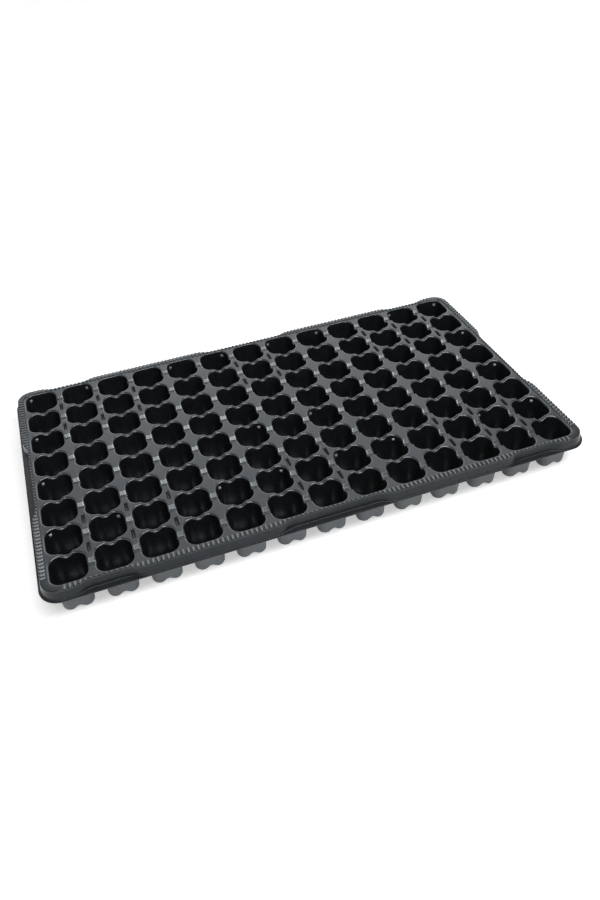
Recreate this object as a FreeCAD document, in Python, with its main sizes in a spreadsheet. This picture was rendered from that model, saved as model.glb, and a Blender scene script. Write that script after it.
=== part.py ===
import FreeCAD, Part
import math
import os
import Sketcher

# A thermoformed plug tray: thirteen columns and eight rows of tapered cups hanging from one web,
# inside a ribbed rim. Origin at the middle of the footprint on the ground, +X along the tray,
# +Y to the back, +Z up. Lengths are in millimetres.

Vector = FreeCAD.Vector
doc = FreeCAD.newDocument("PlugTray")

# ---------------------------------------------------------------- driving dimensions

DIMENSIONS = [
    ("columns", 13, "cups along the tray"),
    ("rows", 8, "cups across the tray"),
    ("column_pitch", 39.5, "from column to column"),
    ("row_pitch", 36.5, "from row to row"),
    ("long_web", 7.5, "web between the mouths of left and right neighbours"),
    ("cross_web", 4.0, "web between the mouths of front and back neighbours"),
    ("end_land", 1.7, "flat web between the end mouths and the rim"),
    ("side_land", 0.7, "flat web between the front and back mouths and the rim"),
    ("deck_height", 38.5, "ground to the top of the web"),
    ("sheet_gauge", 1.0, "thickness of the web and rim"),
    ("cup_gauge", 0.6, "thickness of the stretched cup wall"),
    ("mouth_radius", 9.5, "corner radius of a cup's mouth"),
    ("cup_taper", 3.0, "how far each side of a cup leans in from the web to the ground"),
    ("floor_radius", 6.5, "corner radius of the cup where its taper meets the ground"),
    ("channel_height", 3.2, "air channel under the cup, between its feet"),
    ("channel_width", 4.5, "width of that channel"),
    ("lobe_radius", 4.5, "corner radius of one foot"),
    ("drain_diameter", 9.0, "drain hole in the base"),
    ("saddle_depth", 3.2, "dip of the web between neighbour cups"),
    ("saddle_bottom", 3.0, "level stretch at the bottom of the dip"),
    ("long_saddle", 10.0, "length of the dip between left and right cups"),
    ("cross_saddle", 12.0, "length of the dip between front and back cups"),
    ("trough_length", 12.0, "narrow recess in a pad, along Y"),
    ("trough_width", 4.4, "its width at the top"),
    ("trough_depth", 4.0, "its depth"),
    ("trough_draft", 1.5, "how far its sides lean in from top to bottom"),
    ("lug_reach", 1.6, "how far a stacking lug stands off the cup wall"),
    ("lug_height", 4.0, "height of a stacking lug"),
    ("lug_drop", 3.0, "its top below the underside of the web"),
    ("lug_breadth", 3.5, "its width along the wall"),
    ("lug_bearing", 60.0, "where it stands in the corner bend, in degrees from +X"),
    ("lip_radius", 19.0, "corner radius of the lip"),
    ("lip_reach", 1.8, "how far the lip stands out past the foot of the skirt"),
    ("skirt_lean", 1.5, "draft of the skirt from foot to top"),
    ("skirt_height", 10.0, "underside of the lip to the top of the web"),
    ("lip_gauge", 1.2, "thickness of the lip"),
    ("bead_width", 7.0, "width of the raised bead"),
    ("bead_rise", 0.9, "bead above the web"),
    ("rib_rise", 0.6, "rib above the bead"),
    ("rib_pitch", 4.4, "from rib to rib"),
    ("rib_width", 2.2, "width of a rib along the rim"),
    ("rib_setback", 1.3, "end of a rib to the outer edge of the bead"),
    ("rib_inner_gap", 0.5, "end of a rib to the inner edge of the bead"),
    ("shortest_rib", 0.8, "ribs shorter than this are left out"),
    ("rib_free_corner", 22.0, "length of plain bead at each corner"),
    ("recess_depth", 4.2, "step of the rim at a finger recess"),
    ("recess_round", 24.0, "radius of the bends into a recess"),
    ("end_recess", 104.0, "recess in the middle of each end"),
    ("middle_recess", 96.0, "recess in the middle of each long side"),
    ("outer_recess", 46.0, "recess near each end of a long side"),
    ("outer_recess_end", 59.0, "its centre from the end of the tray"),
]

sheet = doc.addObject("Spreadsheet::Sheet", "Sizes")
for row, (alias, value, meaning) in enumerate(DIMENSIONS, 1):
    sheet.set(f"A{row}", alias)
    sheet.set(f"B{row}", str(value))
    sheet.set(f"C{row}", meaning)
    sheet.setAlias(f"B{row}", alias)
doc.recompute()


def size(alias):
    """One driving dimension as a plain number, for shapes that are set in code."""
    return float(getattr(sheet, alias))


COLUMNS = int(size("columns"))
ROWS = int(size("rows"))
WEB_UNDERSIDE = "(Sizes.deck_height - Sizes.sheet_gauge)"
MOUTH_LENGTH = "(Sizes.column_pitch - Sizes.long_web)"
MOUTH_WIDTH = "(Sizes.row_pitch - Sizes.cross_web)"
CUP_FLOOR = "(Sizes.channel_height + Sizes.cup_gauge)"  # top of a cup's floor, above the ground
MARGIN = 1.0  # how far a cutting shape reaches past what it cuts
HAIR = 0.01  # keeps the straight sides of a rounded outline from closing up to nothing


# ---------------------------------------------------------------- sketches and features


def origin_feature(body, role):
    return next(feature for feature in body.Origin.OriginFeatures if feature.Role == role)


def new_body(name):
    body = doc.addObject("PartDesign::Body", name)
    body.Label = name
    return body


def new_sketch(body, name, role="XY_Plane", place=("0", "0", "0")):
    """A sketch on one of the body's own planes, moved by three expressions in that plane's axes."""
    sketch = body.newObject("Sketcher::SketchObject", name)
    sketch.AttachmentSupport = [(origin_feature(body, role), "")]
    sketch.MapMode = "FlatFace"
    for axis, expression in zip("xyz", place):
        sketch.setExpression(f"AttachmentOffset.Base.{axis}", expression)
    return sketch


def bind(sketch, name, constraint, expression):
    """Adds a sizing constraint and ties it to an expression of the sheet."""
    number = sketch.addConstraint(constraint)
    sketch.renameConstraint(number, name)
    sketch.setExpression(f"Constraints.{name}", expression)


def place_outline(sketch, middle, centre, first, third, prefix):
    """Holds an outline about a point that two expressions place."""
    hub = sketch.addGeometry(Part.Point(middle), True)
    sketch.addConstraint(Sketcher.Constraint("Symmetric", *first, *third, hub, 1))
    bind(sketch, prefix + "x", Sketcher.Constraint("DistanceX", -1, 1, hub, 1, middle.x), centre[0])
    bind(sketch, prefix + "y", Sketcher.Constraint("DistanceY", -1, 1, hub, 1, middle.y), centre[1])


def draw_rectangle(sketch, length, width, centre=("0", "0")):
    """A rectangle with its centre placed by two expressions."""
    half_length = sketch.evalExpression(length) / 2
    half_width = sketch.evalExpression(width) / 2
    middle = Vector(sketch.evalExpression(centre[0]), sketch.evalExpression(centre[1]), 0)
    corners = [(-1, -1), (1, -1), (1, 1), (-1, 1)]
    points = [middle + Vector(x * half_length, y * half_width, 0) for x, y in corners]
    sides = [sketch.addGeometry(Part.LineSegment(points[i], points[(i + 1) % 4])) for i in range(4)]
    for here, there in zip(sides, sides[1:] + sides[:1]):
        sketch.addConstraint(Sketcher.Constraint("Coincident", here, 2, there, 1))
    bottom, right, top, left = sides
    for level in (bottom, top):
        sketch.addConstraint(Sketcher.Constraint("Horizontal", level))
    for upright in (right, left):
        sketch.addConstraint(Sketcher.Constraint("Vertical", upright))
    prefix = f"box{bottom}_"
    place_outline(sketch, middle, centre, (bottom, 1), (top, 1), prefix)
    along = Sketcher.Constraint("DistanceX", bottom, 1, bottom, 2, 2 * half_length)
    bind(sketch, prefix + "length", along, length)
    across = Sketcher.Constraint("DistanceY", right, 1, right, 2, 2 * half_width)
    bind(sketch, prefix + "width", across, width)


def draw_rounded_rectangle(sketch, length, width, radius, centre=("0", "0")):
    """A rectangle with round corners, its centre placed by two expressions."""
    half_length = sketch.evalExpression(length) / 2
    half_width = sketch.evalExpression(width) / 2
    round_off = sketch.evalExpression(radius)
    middle = Vector(sketch.evalExpression(centre[0]), sketch.evalExpression(centre[1]), 0)
    pieces = []
    for quarter in range(4):
        turn = math.pi / 2 * quarter
        reach_x, reach_y = [(1, -1), (1, 1), (-1, 1), (-1, -1)][quarter]
        hub = middle + Vector(reach_x * (half_length - round_off), reach_y * (half_width - round_off), 0)
        start = turn - math.pi / 2
        circle = Part.Circle(hub, Vector(0, 0, 1), round_off)
        pieces.append(Part.ArcOfCircle(circle, start, start + math.pi / 2))
    outline = []
    for here, there in zip(pieces, pieces[1:] + pieces[:1]):
        outline += [here, Part.LineSegment(here.EndPoint, there.StartPoint)]
    ids = [sketch.addGeometry(piece) for piece in outline]
    for here, there in zip(ids, ids[1:] + ids[:1]):
        sketch.addConstraint(Sketcher.Constraint("Tangent", here, 2, there, 1))
    arcs = ids[0::2]
    right, top, left, bottom = ids[1::2]
    for upright in (right, left):
        sketch.addConstraint(Sketcher.Constraint("Vertical", upright))
    for level in (top, bottom):
        sketch.addConstraint(Sketcher.Constraint("Horizontal", level))
    for arc in arcs[1:]:
        sketch.addConstraint(Sketcher.Constraint("Equal", arcs[0], arc))
    prefix = f"round{right}_"
    place_outline(sketch, middle, centre, (bottom, 1), (top, 1), prefix)
    bind(sketch, prefix + "radius", Sketcher.Constraint("Radius", arcs[0], round_off), radius)
    along = Sketcher.Constraint("DistanceX", left, 1, right, 1, 2 * half_length)
    bind(sketch, prefix + "length", along, length)
    across = Sketcher.Constraint("DistanceY", bottom, 1, top, 1, 2 * half_width)
    bind(sketch, prefix + "width", across, width)


def draw_circle(sketch, diameter):
    circle = Part.Circle(Vector(0, 0, 0), Vector(0, 0, 1), sketch.evalExpression(diameter) / 2)
    ring = sketch.addGeometry(circle)
    sketch.addConstraint(Sketcher.Constraint("Coincident", ring, 3, -1, 1))
    bind(sketch, "diameter", Sketcher.Constraint("Diameter", ring, 2 * circle.Radius), diameter)


def draw_polygon(sketch, corners):
    """A closed outline through corners given as pairs of expressions."""
    points = [Vector(sketch.evalExpression(x), sketch.evalExpression(y), 0) for x, y in corners]
    count = len(points)
    sides = [sketch.addGeometry(Part.LineSegment(points[i], points[(i + 1) % count])) for i in range(count)]
    for here, there in zip(sides, sides[1:] + sides[:1]):
        sketch.addConstraint(Sketcher.Constraint("Coincident", here, 2, there, 1))
    for number, (side, (x, y)) in enumerate(zip(sides, corners)):
        bind(sketch, f"x{number}", Sketcher.Constraint("DistanceX", -1, 1, side, 1, points[number].x), x)
        bind(sketch, f"y{number}", Sketcher.Constraint("DistanceY", -1, 1, side, 1, points[number].y), y)


def pad(body, sketch, name, height, both_ways=False):
    feature = body.newObject("PartDesign::Pad", name)
    feature.Profile = sketch
    if both_ways:
        feature.SideType = "Symmetric"
    feature.setExpression("Length", height)
    body.Tip = feature
    return feature


def pocket(body, sketch, name, depth):
    """A pocket that reaches half its depth to each side of its sketch."""
    feature = body.newObject("PartDesign::Pocket", name)
    feature.Profile = sketch
    feature.SideType = "Symmetric"
    feature.setExpression("Length", depth)
    body.Tip = feature
    return feature


def loft(body, lower, upper, name, kind):
    feature = body.newObject("PartDesign::" + kind, name)
    feature.Profile = lower
    feature.Sections = [upper]
    feature.Ruled = True
    body.Tip = feature
    return feature


def repeat(body, name, originals, role, spacing, count):
    """Repeats features in a straight line, or the whole body where no features are given."""
    pattern = body.newObject("PartDesign::LinearPattern", name)
    if originals:
        pattern.Originals = originals
    else:
        pattern.TransformMode = "Whole shape"
    pattern.Direction = (origin_feature(body, role), [""])
    pattern.Mode = "Spacing"
    pattern.setExpression("Offset", spacing)
    pattern.setExpression("Occurrences", count)
    body.Tip = pattern
    return pattern


def set_place(item, x, y, z):
    """Ties the place of a sub-part to three expressions."""
    for axis, expression in zip("xyz", (x, y, z)):
        item.setExpression(f"Placement.Base.{axis}", expression)


def same_again(body, name):
    """A sub-part of the same shape as a body that is already made."""
    link = doc.addObject("App::Link", name)
    link.Label = name
    link.LinkedObject = body
    return link


nodes = []

FIRST_ROW = "-(Sizes.rows - 1) / 2 * Sizes.row_pitch"


def column_middle(number):
    """Middle of a column of cups, the first being 1."""
    return f"({number} - (Sizes.columns + 1) / 2) * Sizes.column_pitch"


def column_edge(number):
    """Line between column number and the next; 0 is the outer edge of the first column."""
    return f"({number} - Sizes.columns / 2) * Sizes.column_pitch"


# ---------------------------------------------------------------- cups


def cup_section(body, name, height, grow):
    """Rounded-square section of a cup, grown outward from its clear inside."""
    depth = f"(1 - ({height}) / {WEB_UNDERSIDE})"  # share of the way from the web to the ground
    length = f"{MOUTH_LENGTH} - 2 * Sizes.cup_taper * {depth} + 2 * ({grow})"
    width = f"{MOUTH_WIDTH} - 2 * Sizes.cup_taper * {depth} + 2 * ({grow})"
    radius = f"Sizes.mouth_radius - (Sizes.mouth_radius - Sizes.floor_radius) * {depth} + {grow}"
    sketch = new_sketch(body, name, place=("0", "0", height))
    draw_rounded_rectangle(sketch, length, width, radius)
    return sketch


def dip_outline(sketch, length, drop, above):
    """The shape of a saddle's dip, hung below a level and closed a little above it."""
    half = f"Sizes.{length} / 2"
    flat = "Sizes.saddle_bottom / 2"
    draw_polygon(sketch, [
        (f"-{half}", above),
        (f"-{half}", drop),
        (f"-{flat}", f"{drop} - Sizes.saddle_depth"),
        (flat, f"{drop} - Sizes.saddle_depth"),
        (half, drop),
        (half, above),
    ])


def make_cup_walls(number):
    """The tapered walls of one column of cups, notched where the saddles dip between them."""
    body = new_body(f"cup_walls_{number:02d}")
    outer_low = cup_section(body, "outer_low", CUP_FLOOR, "Sizes.cup_gauge")
    outer_high = cup_section(body, "outer_high", WEB_UNDERSIDE, "Sizes.cup_gauge")
    loft(body, outer_low, outer_high, "outside", "AdditiveLoft")
    inner_low = cup_section(body, "inner_low", CUP_FLOOR, "0")
    inner_high = cup_section(body, "inner_high", WEB_UNDERSIDE, "0")
    loft(body, inner_low, inner_high, "hollow", "SubtractiveLoft")
    for side, has_neighbour in ((-1, number > 1), (1, number < COLUMNS)):
        if has_neighbour:
            name = "left_notch" if side < 0 else "right_notch"
            place = ("0", WEB_UNDERSIDE, f"{side} * Sizes.column_pitch / 2")
            notch = new_sketch(body, name + "_outline", "YZ_Plane", place)
            dip_outline(notch, "long_saddle", "0", f"{MARGIN}")
            pocket(body, notch, name, "Sizes.long_web + Sizes.mouth_radius")
    repeat(body, "down_the_column", None, "Y_Axis", "Sizes.row_pitch", "Sizes.rows")
    place = ("0", WEB_UNDERSIDE, "-Sizes.row_pitch / 2")
    notch = new_sketch(body, "cross_notch_outline", "XZ_Plane", place)
    dip_outline(notch, "cross_saddle", "0", f"{MARGIN}")
    cross = pocket(body, notch, "cross_notch", "Sizes.cross_web + Sizes.mouth_radius")
    repeat(body, "cross_notches", [cross], "Y_Axis", "Sizes.row_pitch", "Sizes.rows - 1")
    return body


FOOT_NEAR = "Sizes.channel_width / 2"  # inner side of a foot, from the middle of the cup
FOOT_FAR_X = f"({MOUTH_LENGTH} / 2 - Sizes.cup_taper + Sizes.cup_gauge)"
FOOT_FAR_Y = f"({MOUTH_WIDTH} / 2 - Sizes.cup_taper + Sizes.cup_gauge)"


def draw_feet(sketch, shrink):
    """Four rounded feet, one to each corner of the cup, with the air channels between them."""
    length = f"{FOOT_FAR_X} - {FOOT_NEAR} - 2 * ({shrink})"
    width = f"{FOOT_FAR_Y} - {FOOT_NEAR} - 2 * ({shrink})"
    radius = f"min(Sizes.lobe_radius - ({shrink}); ({length}) / 2 - {HAIR}; ({width}) / 2 - {HAIR})"
    for side_x in (-1, 1):
        for side_y in (-1, 1):
            middle_x = f"{side_x} * ({FOOT_FAR_X} + {FOOT_NEAR}) / 2"
            middle_y = f"{side_y} * ({FOOT_FAR_Y} + {FOOT_NEAR}) / 2"
            draw_rounded_rectangle(sketch, length, width, radius, (middle_x, middle_y))


def make_cup_bases():
    """The floors of one column of cups, each on four hollow feet with a drain hole."""
    body = new_body("cup_bases_01")
    lower = cup_section(body, "floor_underside", "Sizes.channel_height", "Sizes.cup_gauge")
    upper = cup_section(body, "floor_top", CUP_FLOOR, "Sizes.cup_gauge")
    loft(body, lower, upper, "floor", "AdditiveLoft")
    feet = new_sketch(body, "feet_outline")
    draw_feet(feet, "0")
    pad(body, feet, "feet", CUP_FLOOR)
    hollows = new_sketch(body, "foot_hollow_outline", place=("0", "0", CUP_FLOOR))
    draw_feet(hollows, "Sizes.cup_gauge")
    pocket(body, hollows, "foot_hollows", "2 * Sizes.channel_height")
    drain = new_sketch(body, "drain_outline")
    draw_circle(drain, "Sizes.drain_diameter")
    pocket(body, drain, "drain", f"2 * ({CUP_FLOOR} + {MARGIN})")
    repeat(body, "down_the_column", None, "Y_Axis", "Sizes.row_pitch", "Sizes.rows")
    return body


walls_at_left = make_cup_walls(1)
walls_between = make_cup_walls(2)
walls_at_right = make_cup_walls(COLUMNS)
bases = make_cup_bases()
for number in range(1, COLUMNS + 1):
    if number in (1, 2, COLUMNS):
        walls = {1: walls_at_left, 2: walls_between, COLUMNS: walls_at_right}[number]
    else:
        walls = same_again(walls_between, f"cup_walls_{number:02d}")
    base = bases if number == 1 else same_again(bases, f"cup_bases_{number:02d}")
    for item in (walls, base):
        set_place(item, column_middle(number), FIRST_ROW, "0")
        nodes.append(item)


# ---------------------------------------------------------------- web

RIM_REACH = "(Sizes.bead_width + Sizes.skirt_lean + Sizes.lip_reach)"
DECK_LENGTH = "(Sizes.columns * Sizes.column_pitch - Sizes.long_web + 2 * Sizes.end_land)"
DECK_WIDTH = "(Sizes.rows * Sizes.row_pitch - Sizes.cross_web + 2 * Sizes.side_land)"
# Troughs lie in the pads of three column edges near each end and of the two about the middle,
# on the first two row edges from the front and from the back.
END_TROUGHS = 3
TROUGH_ROWS = 2
TROUGH_EDGES = {COLUMNS // 2, (COLUMNS + 1) // 2}
TROUGH_EDGES |= set(range(1, END_TROUGHS + 1))
TROUGH_EDGES |= set(range(COLUMNS - END_TROUGHS, COLUMNS))


def trough_row_edges():
    """Row edges with troughs, counted from the front edge of the first row, which is 0."""
    front = [f"{number}" for number in range(1, TROUGH_ROWS + 1)]
    back = [f"(Sizes.rows - {number})" for number in range(TROUGH_ROWS, 0, -1)]
    return front + back


def draw_trough_outline(sketch, shrink, centre=("0", "0")):
    """A narrow outline with half-round ends, shrunk inward from a trough's top opening."""
    width = f"Sizes.trough_width - 2 * ({shrink})"
    length = f"Sizes.trough_length - 2 * ({shrink})"
    draw_rounded_rectangle(sketch, width, length, f"({width}) / 2 - {HAIR}", centre)


def make_web_pads(edge):
    """The flat pads along one column edge: sheet left between four mouths and four saddles."""
    body = new_body(f"web_pads_{edge + 1:02d}")
    inner_edge = 0 < edge < COLUMNS
    middle = "(Sizes.rows - 1) / 2 * Sizes.row_pitch"
    through = f"2 * Sizes.sheet_gauge + {2 * MARGIN}"
    both_sides = ("-Sizes.column_pitch / 2", "Sizes.column_pitch / 2")
    plate = new_sketch(body, "plate_outline", place=("0", middle, "-Sizes.sheet_gauge"))
    draw_rectangle(plate, "Sizes.column_pitch", f"{DECK_WIDTH} + {2 * MARGIN}")
    pad(body, plate, "plate", "Sizes.sheet_gauge")
    mouths = new_sketch(body, "mouth_outlines")
    for side in both_sides:
        draw_rounded_rectangle(mouths, MOUTH_LENGTH, MOUTH_WIDTH, "Sizes.mouth_radius", (side, "0"))
    cut = pocket(body, mouths, "mouths", through)
    repeat(body, "all_mouths", [cut], "Y_Axis", "Sizes.row_pitch", "Sizes.rows")
    if inner_edge:
        gap = new_sketch(body, "long_gap_outline")
        draw_rectangle(gap, "Sizes.long_web + Sizes.mouth_radius", "Sizes.long_saddle")
        cut = pocket(body, gap, "long_gap", through)
        repeat(body, "all_long_gaps", [cut], "Y_Axis", "Sizes.row_pitch", "Sizes.rows")
    gaps = new_sketch(body, "cross_gap_outlines")
    across = "Sizes.cross_web + Sizes.mouth_radius"
    for side in both_sides:
        draw_rectangle(gaps, "Sizes.cross_saddle", across, (side, "Sizes.row_pitch / 2"))
    cut = pocket(body, gaps, "cross_gaps", through)
    repeat(body, "all_cross_gaps", [cut], "Y_Axis", "Sizes.row_pitch", "Sizes.rows - 1")
    place = (f"-({column_edge(edge)})", middle, "0")
    beyond = new_sketch(body, "beyond_the_deck", place=place)
    draw_rectangle(beyond, f"3 * {DECK_LENGTH}", f"3 * {DECK_WIDTH}")
    draw_rounded_rectangle(beyond, DECK_LENGTH, DECK_WIDTH, f"Sizes.lip_radius - {RIM_REACH}")
    pocket(body, beyond, "deck_edge", through)
    if edge in TROUGH_EDGES:
        slots = new_sketch(body, "trough_slot_outlines")
        for row_edge in trough_row_edges():
            centre = ("0", f"({row_edge} - 0.5) * Sizes.row_pitch")
            draw_trough_outline(slots, "0", centre)
        pocket(body, slots, "trough_slots", through)
    return body


def saddle_band(sketch, length):
    """A saddle's cut face: the dip and the same dip one sheet thickness lower."""
    half = f"Sizes.{length} / 2"
    flat = "Sizes.saddle_bottom / 2"
    depth = "-Sizes.saddle_depth"
    top = [(f"-{half}", "0"), (f"-{flat}", depth), (flat, depth), (half, "0")]
    below = [(x, f"{y} - Sizes.sheet_gauge") for x, y in reversed(top)]
    draw_polygon(sketch, top + below)


def make_saddles(name, plane, length, breadth, rows, columns):
    """Dipped bridges of the web, one master bridge repeated along both pitches."""
    body = new_body(name)
    band = new_sketch(body, "band", plane)
    saddle_band(band, length)
    pad(body, band, "bridge", breadth, both_ways=True)
    repeat(body, "across_the_tray", None, "Y_Axis", "Sizes.row_pitch", rows)
    repeat(body, "along_the_tray", None, "X_Axis", "Sizes.column_pitch", columns)
    return body


def trough_section(body, name, height, shrink):
    sketch = new_sketch(body, name, place=("0", "0", height))
    draw_trough_outline(sketch, shrink)
    return sketch


def make_trough():
    """One trough: a narrow boat-shaped recess that hangs in its slot in a pad."""
    body = new_body("trough")
    floor = "-Sizes.trough_depth"
    wall = "Sizes.cup_gauge"
    top = trough_section(body, "top", "0", "0")
    bottom = trough_section(body, "bottom", floor, "Sizes.trough_draft")
    loft(body, bottom, top, "outside", "AdditiveLoft")
    inner_top = trough_section(body, "inner_top", "0", wall)
    inner_draft = f"Sizes.trough_draft + {wall} / 2"
    inner_bottom = trough_section(body, "inner_bottom", f"{floor} + {wall}", inner_draft)
    loft(body, inner_bottom, inner_top, "hollow", "SubtractiveLoft")
    return body


plain_pads = None
trough_pads = None
for edge in range(COLUMNS + 1):
    name = f"web_pads_{edge + 1:02d}"
    if edge in (0, COLUMNS):
        pads = make_web_pads(edge)
    elif edge in TROUGH_EDGES:
        pads = same_again(trough_pads, name) if trough_pads else make_web_pads(edge)
        trough_pads = trough_pads or pads
    else:
        pads = same_again(plain_pads, name) if plain_pads else make_web_pads(edge)
        plain_pads = plain_pads or pads
    set_place(pads, column_edge(edge), FIRST_ROW, "Sizes.deck_height")
    nodes.append(pads)

long_saddles = make_saddles(
    "long_saddles", "YZ_Plane", "long_saddle", "Sizes.long_web", "Sizes.rows", "Sizes.columns - 1"
)
set_place(long_saddles, column_edge(1), FIRST_ROW, "Sizes.deck_height")
cross_saddles = make_saddles(
    "cross_saddles", "XZ_Plane", "cross_saddle", "Sizes.cross_web", "Sizes.rows - 1", "Sizes.columns"
)
set_place(cross_saddles, column_middle(1), f"{FIRST_ROW} + Sizes.row_pitch / 2", "Sizes.deck_height")
nodes += [long_saddles, cross_saddles]
trough = make_trough()
doc.recompute()


def copies(shape, places):
    """One compound of copies of a shape, each moved to its place."""
    moved = []
    for place in places:
        copy = shape.copy()
        copy.translate(place)
        moved.append(copy)
    return Part.makeCompound(moved)


def group_node(name, shape):
    feature = doc.addObject("Part::Feature", name)
    feature.Label = name
    feature.Shape = shape
    feature.Placement = FreeCAD.Placement()
    nodes.append(feature)


def edge_x(edge):
    return (edge - COLUMNS / 2) * size("column_pitch")


def cup_x(column):
    return (column - (COLUMNS + 1) / 2) * size("column_pitch")


def row_y(row):
    """Middle of a row of cups, the front row being 1."""
    return (row - (ROWS + 1) / 2) * size("row_pitch")


trough_rows = list(range(1, TROUGH_ROWS + 1)) + list(range(ROWS - TROUGH_ROWS, ROWS))
trough_places = [
    Vector(edge_x(edge), row_y(row) + size("row_pitch") / 2, size("deck_height"))
    for edge in sorted(TROUGH_EDGES)
    for row in trough_rows
]
group_node("pad_troughs", copies(trough.Shape, trough_places))


# ---------------------------------------------------------------- stacking lugs


def rounded_wire(half_x, half_y, radius, height):
    """A rounded rectangle about the Z axis as one closed wire."""
    arcs = []
    for turn, (side_x, side_y) in enumerate([(1, 1), (-1, 1), (-1, -1), (1, -1)]):
        hub = Vector(side_x * (half_x - radius), side_y * (half_y - radius), height)
        start = 90 * turn
        arcs.append(Part.makeCircle(radius, hub, Vector(0, 0, 1), start, start + 90))
    edges = []
    for here, there in zip(arcs, arcs[1:] + arcs[:1]):
        edges.append(here)
        edges.append(Part.makeLine(here.Vertexes[-1].Point, there.Vertexes[0].Point))
    return Part.Wire(edges)


HALF_MOUTH_X = (size("column_pitch") - size("long_web")) / 2
HALF_MOUTH_Y = (size("row_pitch") - size("cross_web")) / 2


def clear_of_cup():
    """The hollow of one cup as a solid, which a lug must fill out to the wall and no further."""
    taper = size("cup_taper")
    ground = rounded_wire(HALF_MOUTH_X - taper, HALF_MOUTH_Y - taper, size("floor_radius"), 0)
    under_web = size("deck_height") - size("sheet_gauge")
    mouth = rounded_wire(HALF_MOUTH_X, HALF_MOUTH_Y, size("mouth_radius"), under_web)
    return Part.makeLoft([ground, mouth], True, True)


def make_lug(side):
    """A lug in the back corner bend of a cup, on the left (-1) or right (1): a wedge on the wall."""
    top = size("deck_height") - size("sheet_gauge") - size("lug_drop")
    nose = size("mouth_radius") - size("lug_reach")
    crown = nose + size("lug_reach") / 2
    beyond = size("mouth_radius") + size("lug_reach")
    profile = [
        (nose, top - size("lug_height") / 4),
        (size("mouth_radius"), top - size("lug_height")),
        (beyond, top - size("lug_height")),
        (beyond, top),
        (crown, top),
    ]
    points = [Vector(out, -size("lug_breadth") / 2, height) for out, height in profile]
    wedge = Part.Face(Part.makePolygon(points + points[:1])).extrude(Vector(0, size("lug_breadth"), 0))
    wedge.rotate(Vector(0, 0, 0), Vector(0, 0, 1), size("lug_bearing"))
    wedge.translate(Vector(HALF_MOUTH_X - size("mouth_radius"), HALF_MOUTH_Y - size("mouth_radius"), 0))
    lug = wedge.common(clear_of_cup())
    if side < 0:
        lug = lug.mirror(Vector(0, 0, 0), Vector(1, 0, 0))
    return lug


# Cups with lugs, as (column, row, side): every other row at both ends, and in three rows a few
# columns next to the ends and about the middle.
MIDDLE = (COLUMNS + 1) // 2
LUG_PLACES = []
for row in range(2, ROWS + 1, 2):
    LUG_PLACES += [(1, row, -1), (COLUMNS, row, 1)]
for row in (2, ROWS):
    LUG_PLACES += [(2, row, 1), (MIDDLE - 2, row, -1), (MIDDLE - 1, row, 1)]
    LUG_PLACES += [(MIDDLE + 1, row, -1), (MIDDLE + 2, row, 1), (COLUMNS - 1, row, -1)]
LUG_PLACES += [(MIDDLE - 1, ROWS // 2, 1), (MIDDLE + 1, ROWS // 2, -1)]

lug_of = {side: make_lug(side) for side in (-1, 1)}
lugs = []
for column, row, side in LUG_PLACES:
    lug = lug_of[side].copy()
    lug.translate(Vector(cup_x(column), row_y(row), 0))
    lugs.append(lug)
group_node("stacking_lugs", Part.makeCompound(lugs))


# ---------------------------------------------------------------- rim

rim_reach = size("bead_width") + size("skirt_lean") + size("lip_reach")
HALF_LENGTH = (COLUMNS * size("column_pitch") - size("long_web")) / 2 + size("end_land") + rim_reach
HALF_WIDTH = (ROWS * size("row_pitch") - size("cross_web")) / 2 + size("side_land") + rim_reach
BEND = math.sqrt(size("recess_depth") * (4 * size("recess_round") - size("recess_depth")))
OUTER_RECESS_X = HALF_LENGTH - size("outer_recess_end")
SIDE_RECESSES = [
    (-OUTER_RECESS_X, size("outer_recess")),
    (0.0, size("middle_recess")),
    (OUTER_RECESS_X, size("outer_recess")),
]
END_RECESSES = [(0.0, size("end_recess"))]


def bend_points(start, outward):
    """The five points of an S-bend from the plain edge into a recess, or out of it."""
    radius = size("recess_round")
    depth = size("recess_depth")
    angle = math.asin(BEND / 2 / radius)
    points = []
    for part in (0, 0.5, 1):
        points.append((radius * math.sin(angle * part), radius - radius * math.cos(angle * part)))
    for part in (0.5, 0):
        along = BEND - radius * math.sin(angle * part)
        points.append((along, depth - radius + radius * math.cos(angle * part)))
    if outward:
        points = [(BEND - along, inset) for along, inset in reversed(points)]
    return [(start + along, inset) for along, inset in points]


def side_edges(half, recesses, place):
    """Edges of one side from -half to half; place turns (along, inset) into a point."""
    edges = []
    here = -half
    level = 0.0
    for middle, length in recesses:
        for start, outward in ((middle - length / 2, False), (middle + length / 2, True)):
            points = bend_points(start - BEND / 2, outward)
            edges.append(Part.makeLine(place(here, level), place(*points[0])))
            edges.append(Part.Arc(*[place(*point) for point in points[0:3]]).toShape())
            edges.append(Part.Arc(*[place(*point) for point in points[2:5]]).toShape())
            here, level = points[-1]
    edges.append(Part.makeLine(place(here, level), place(half, 0.0)))
    return edges


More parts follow.
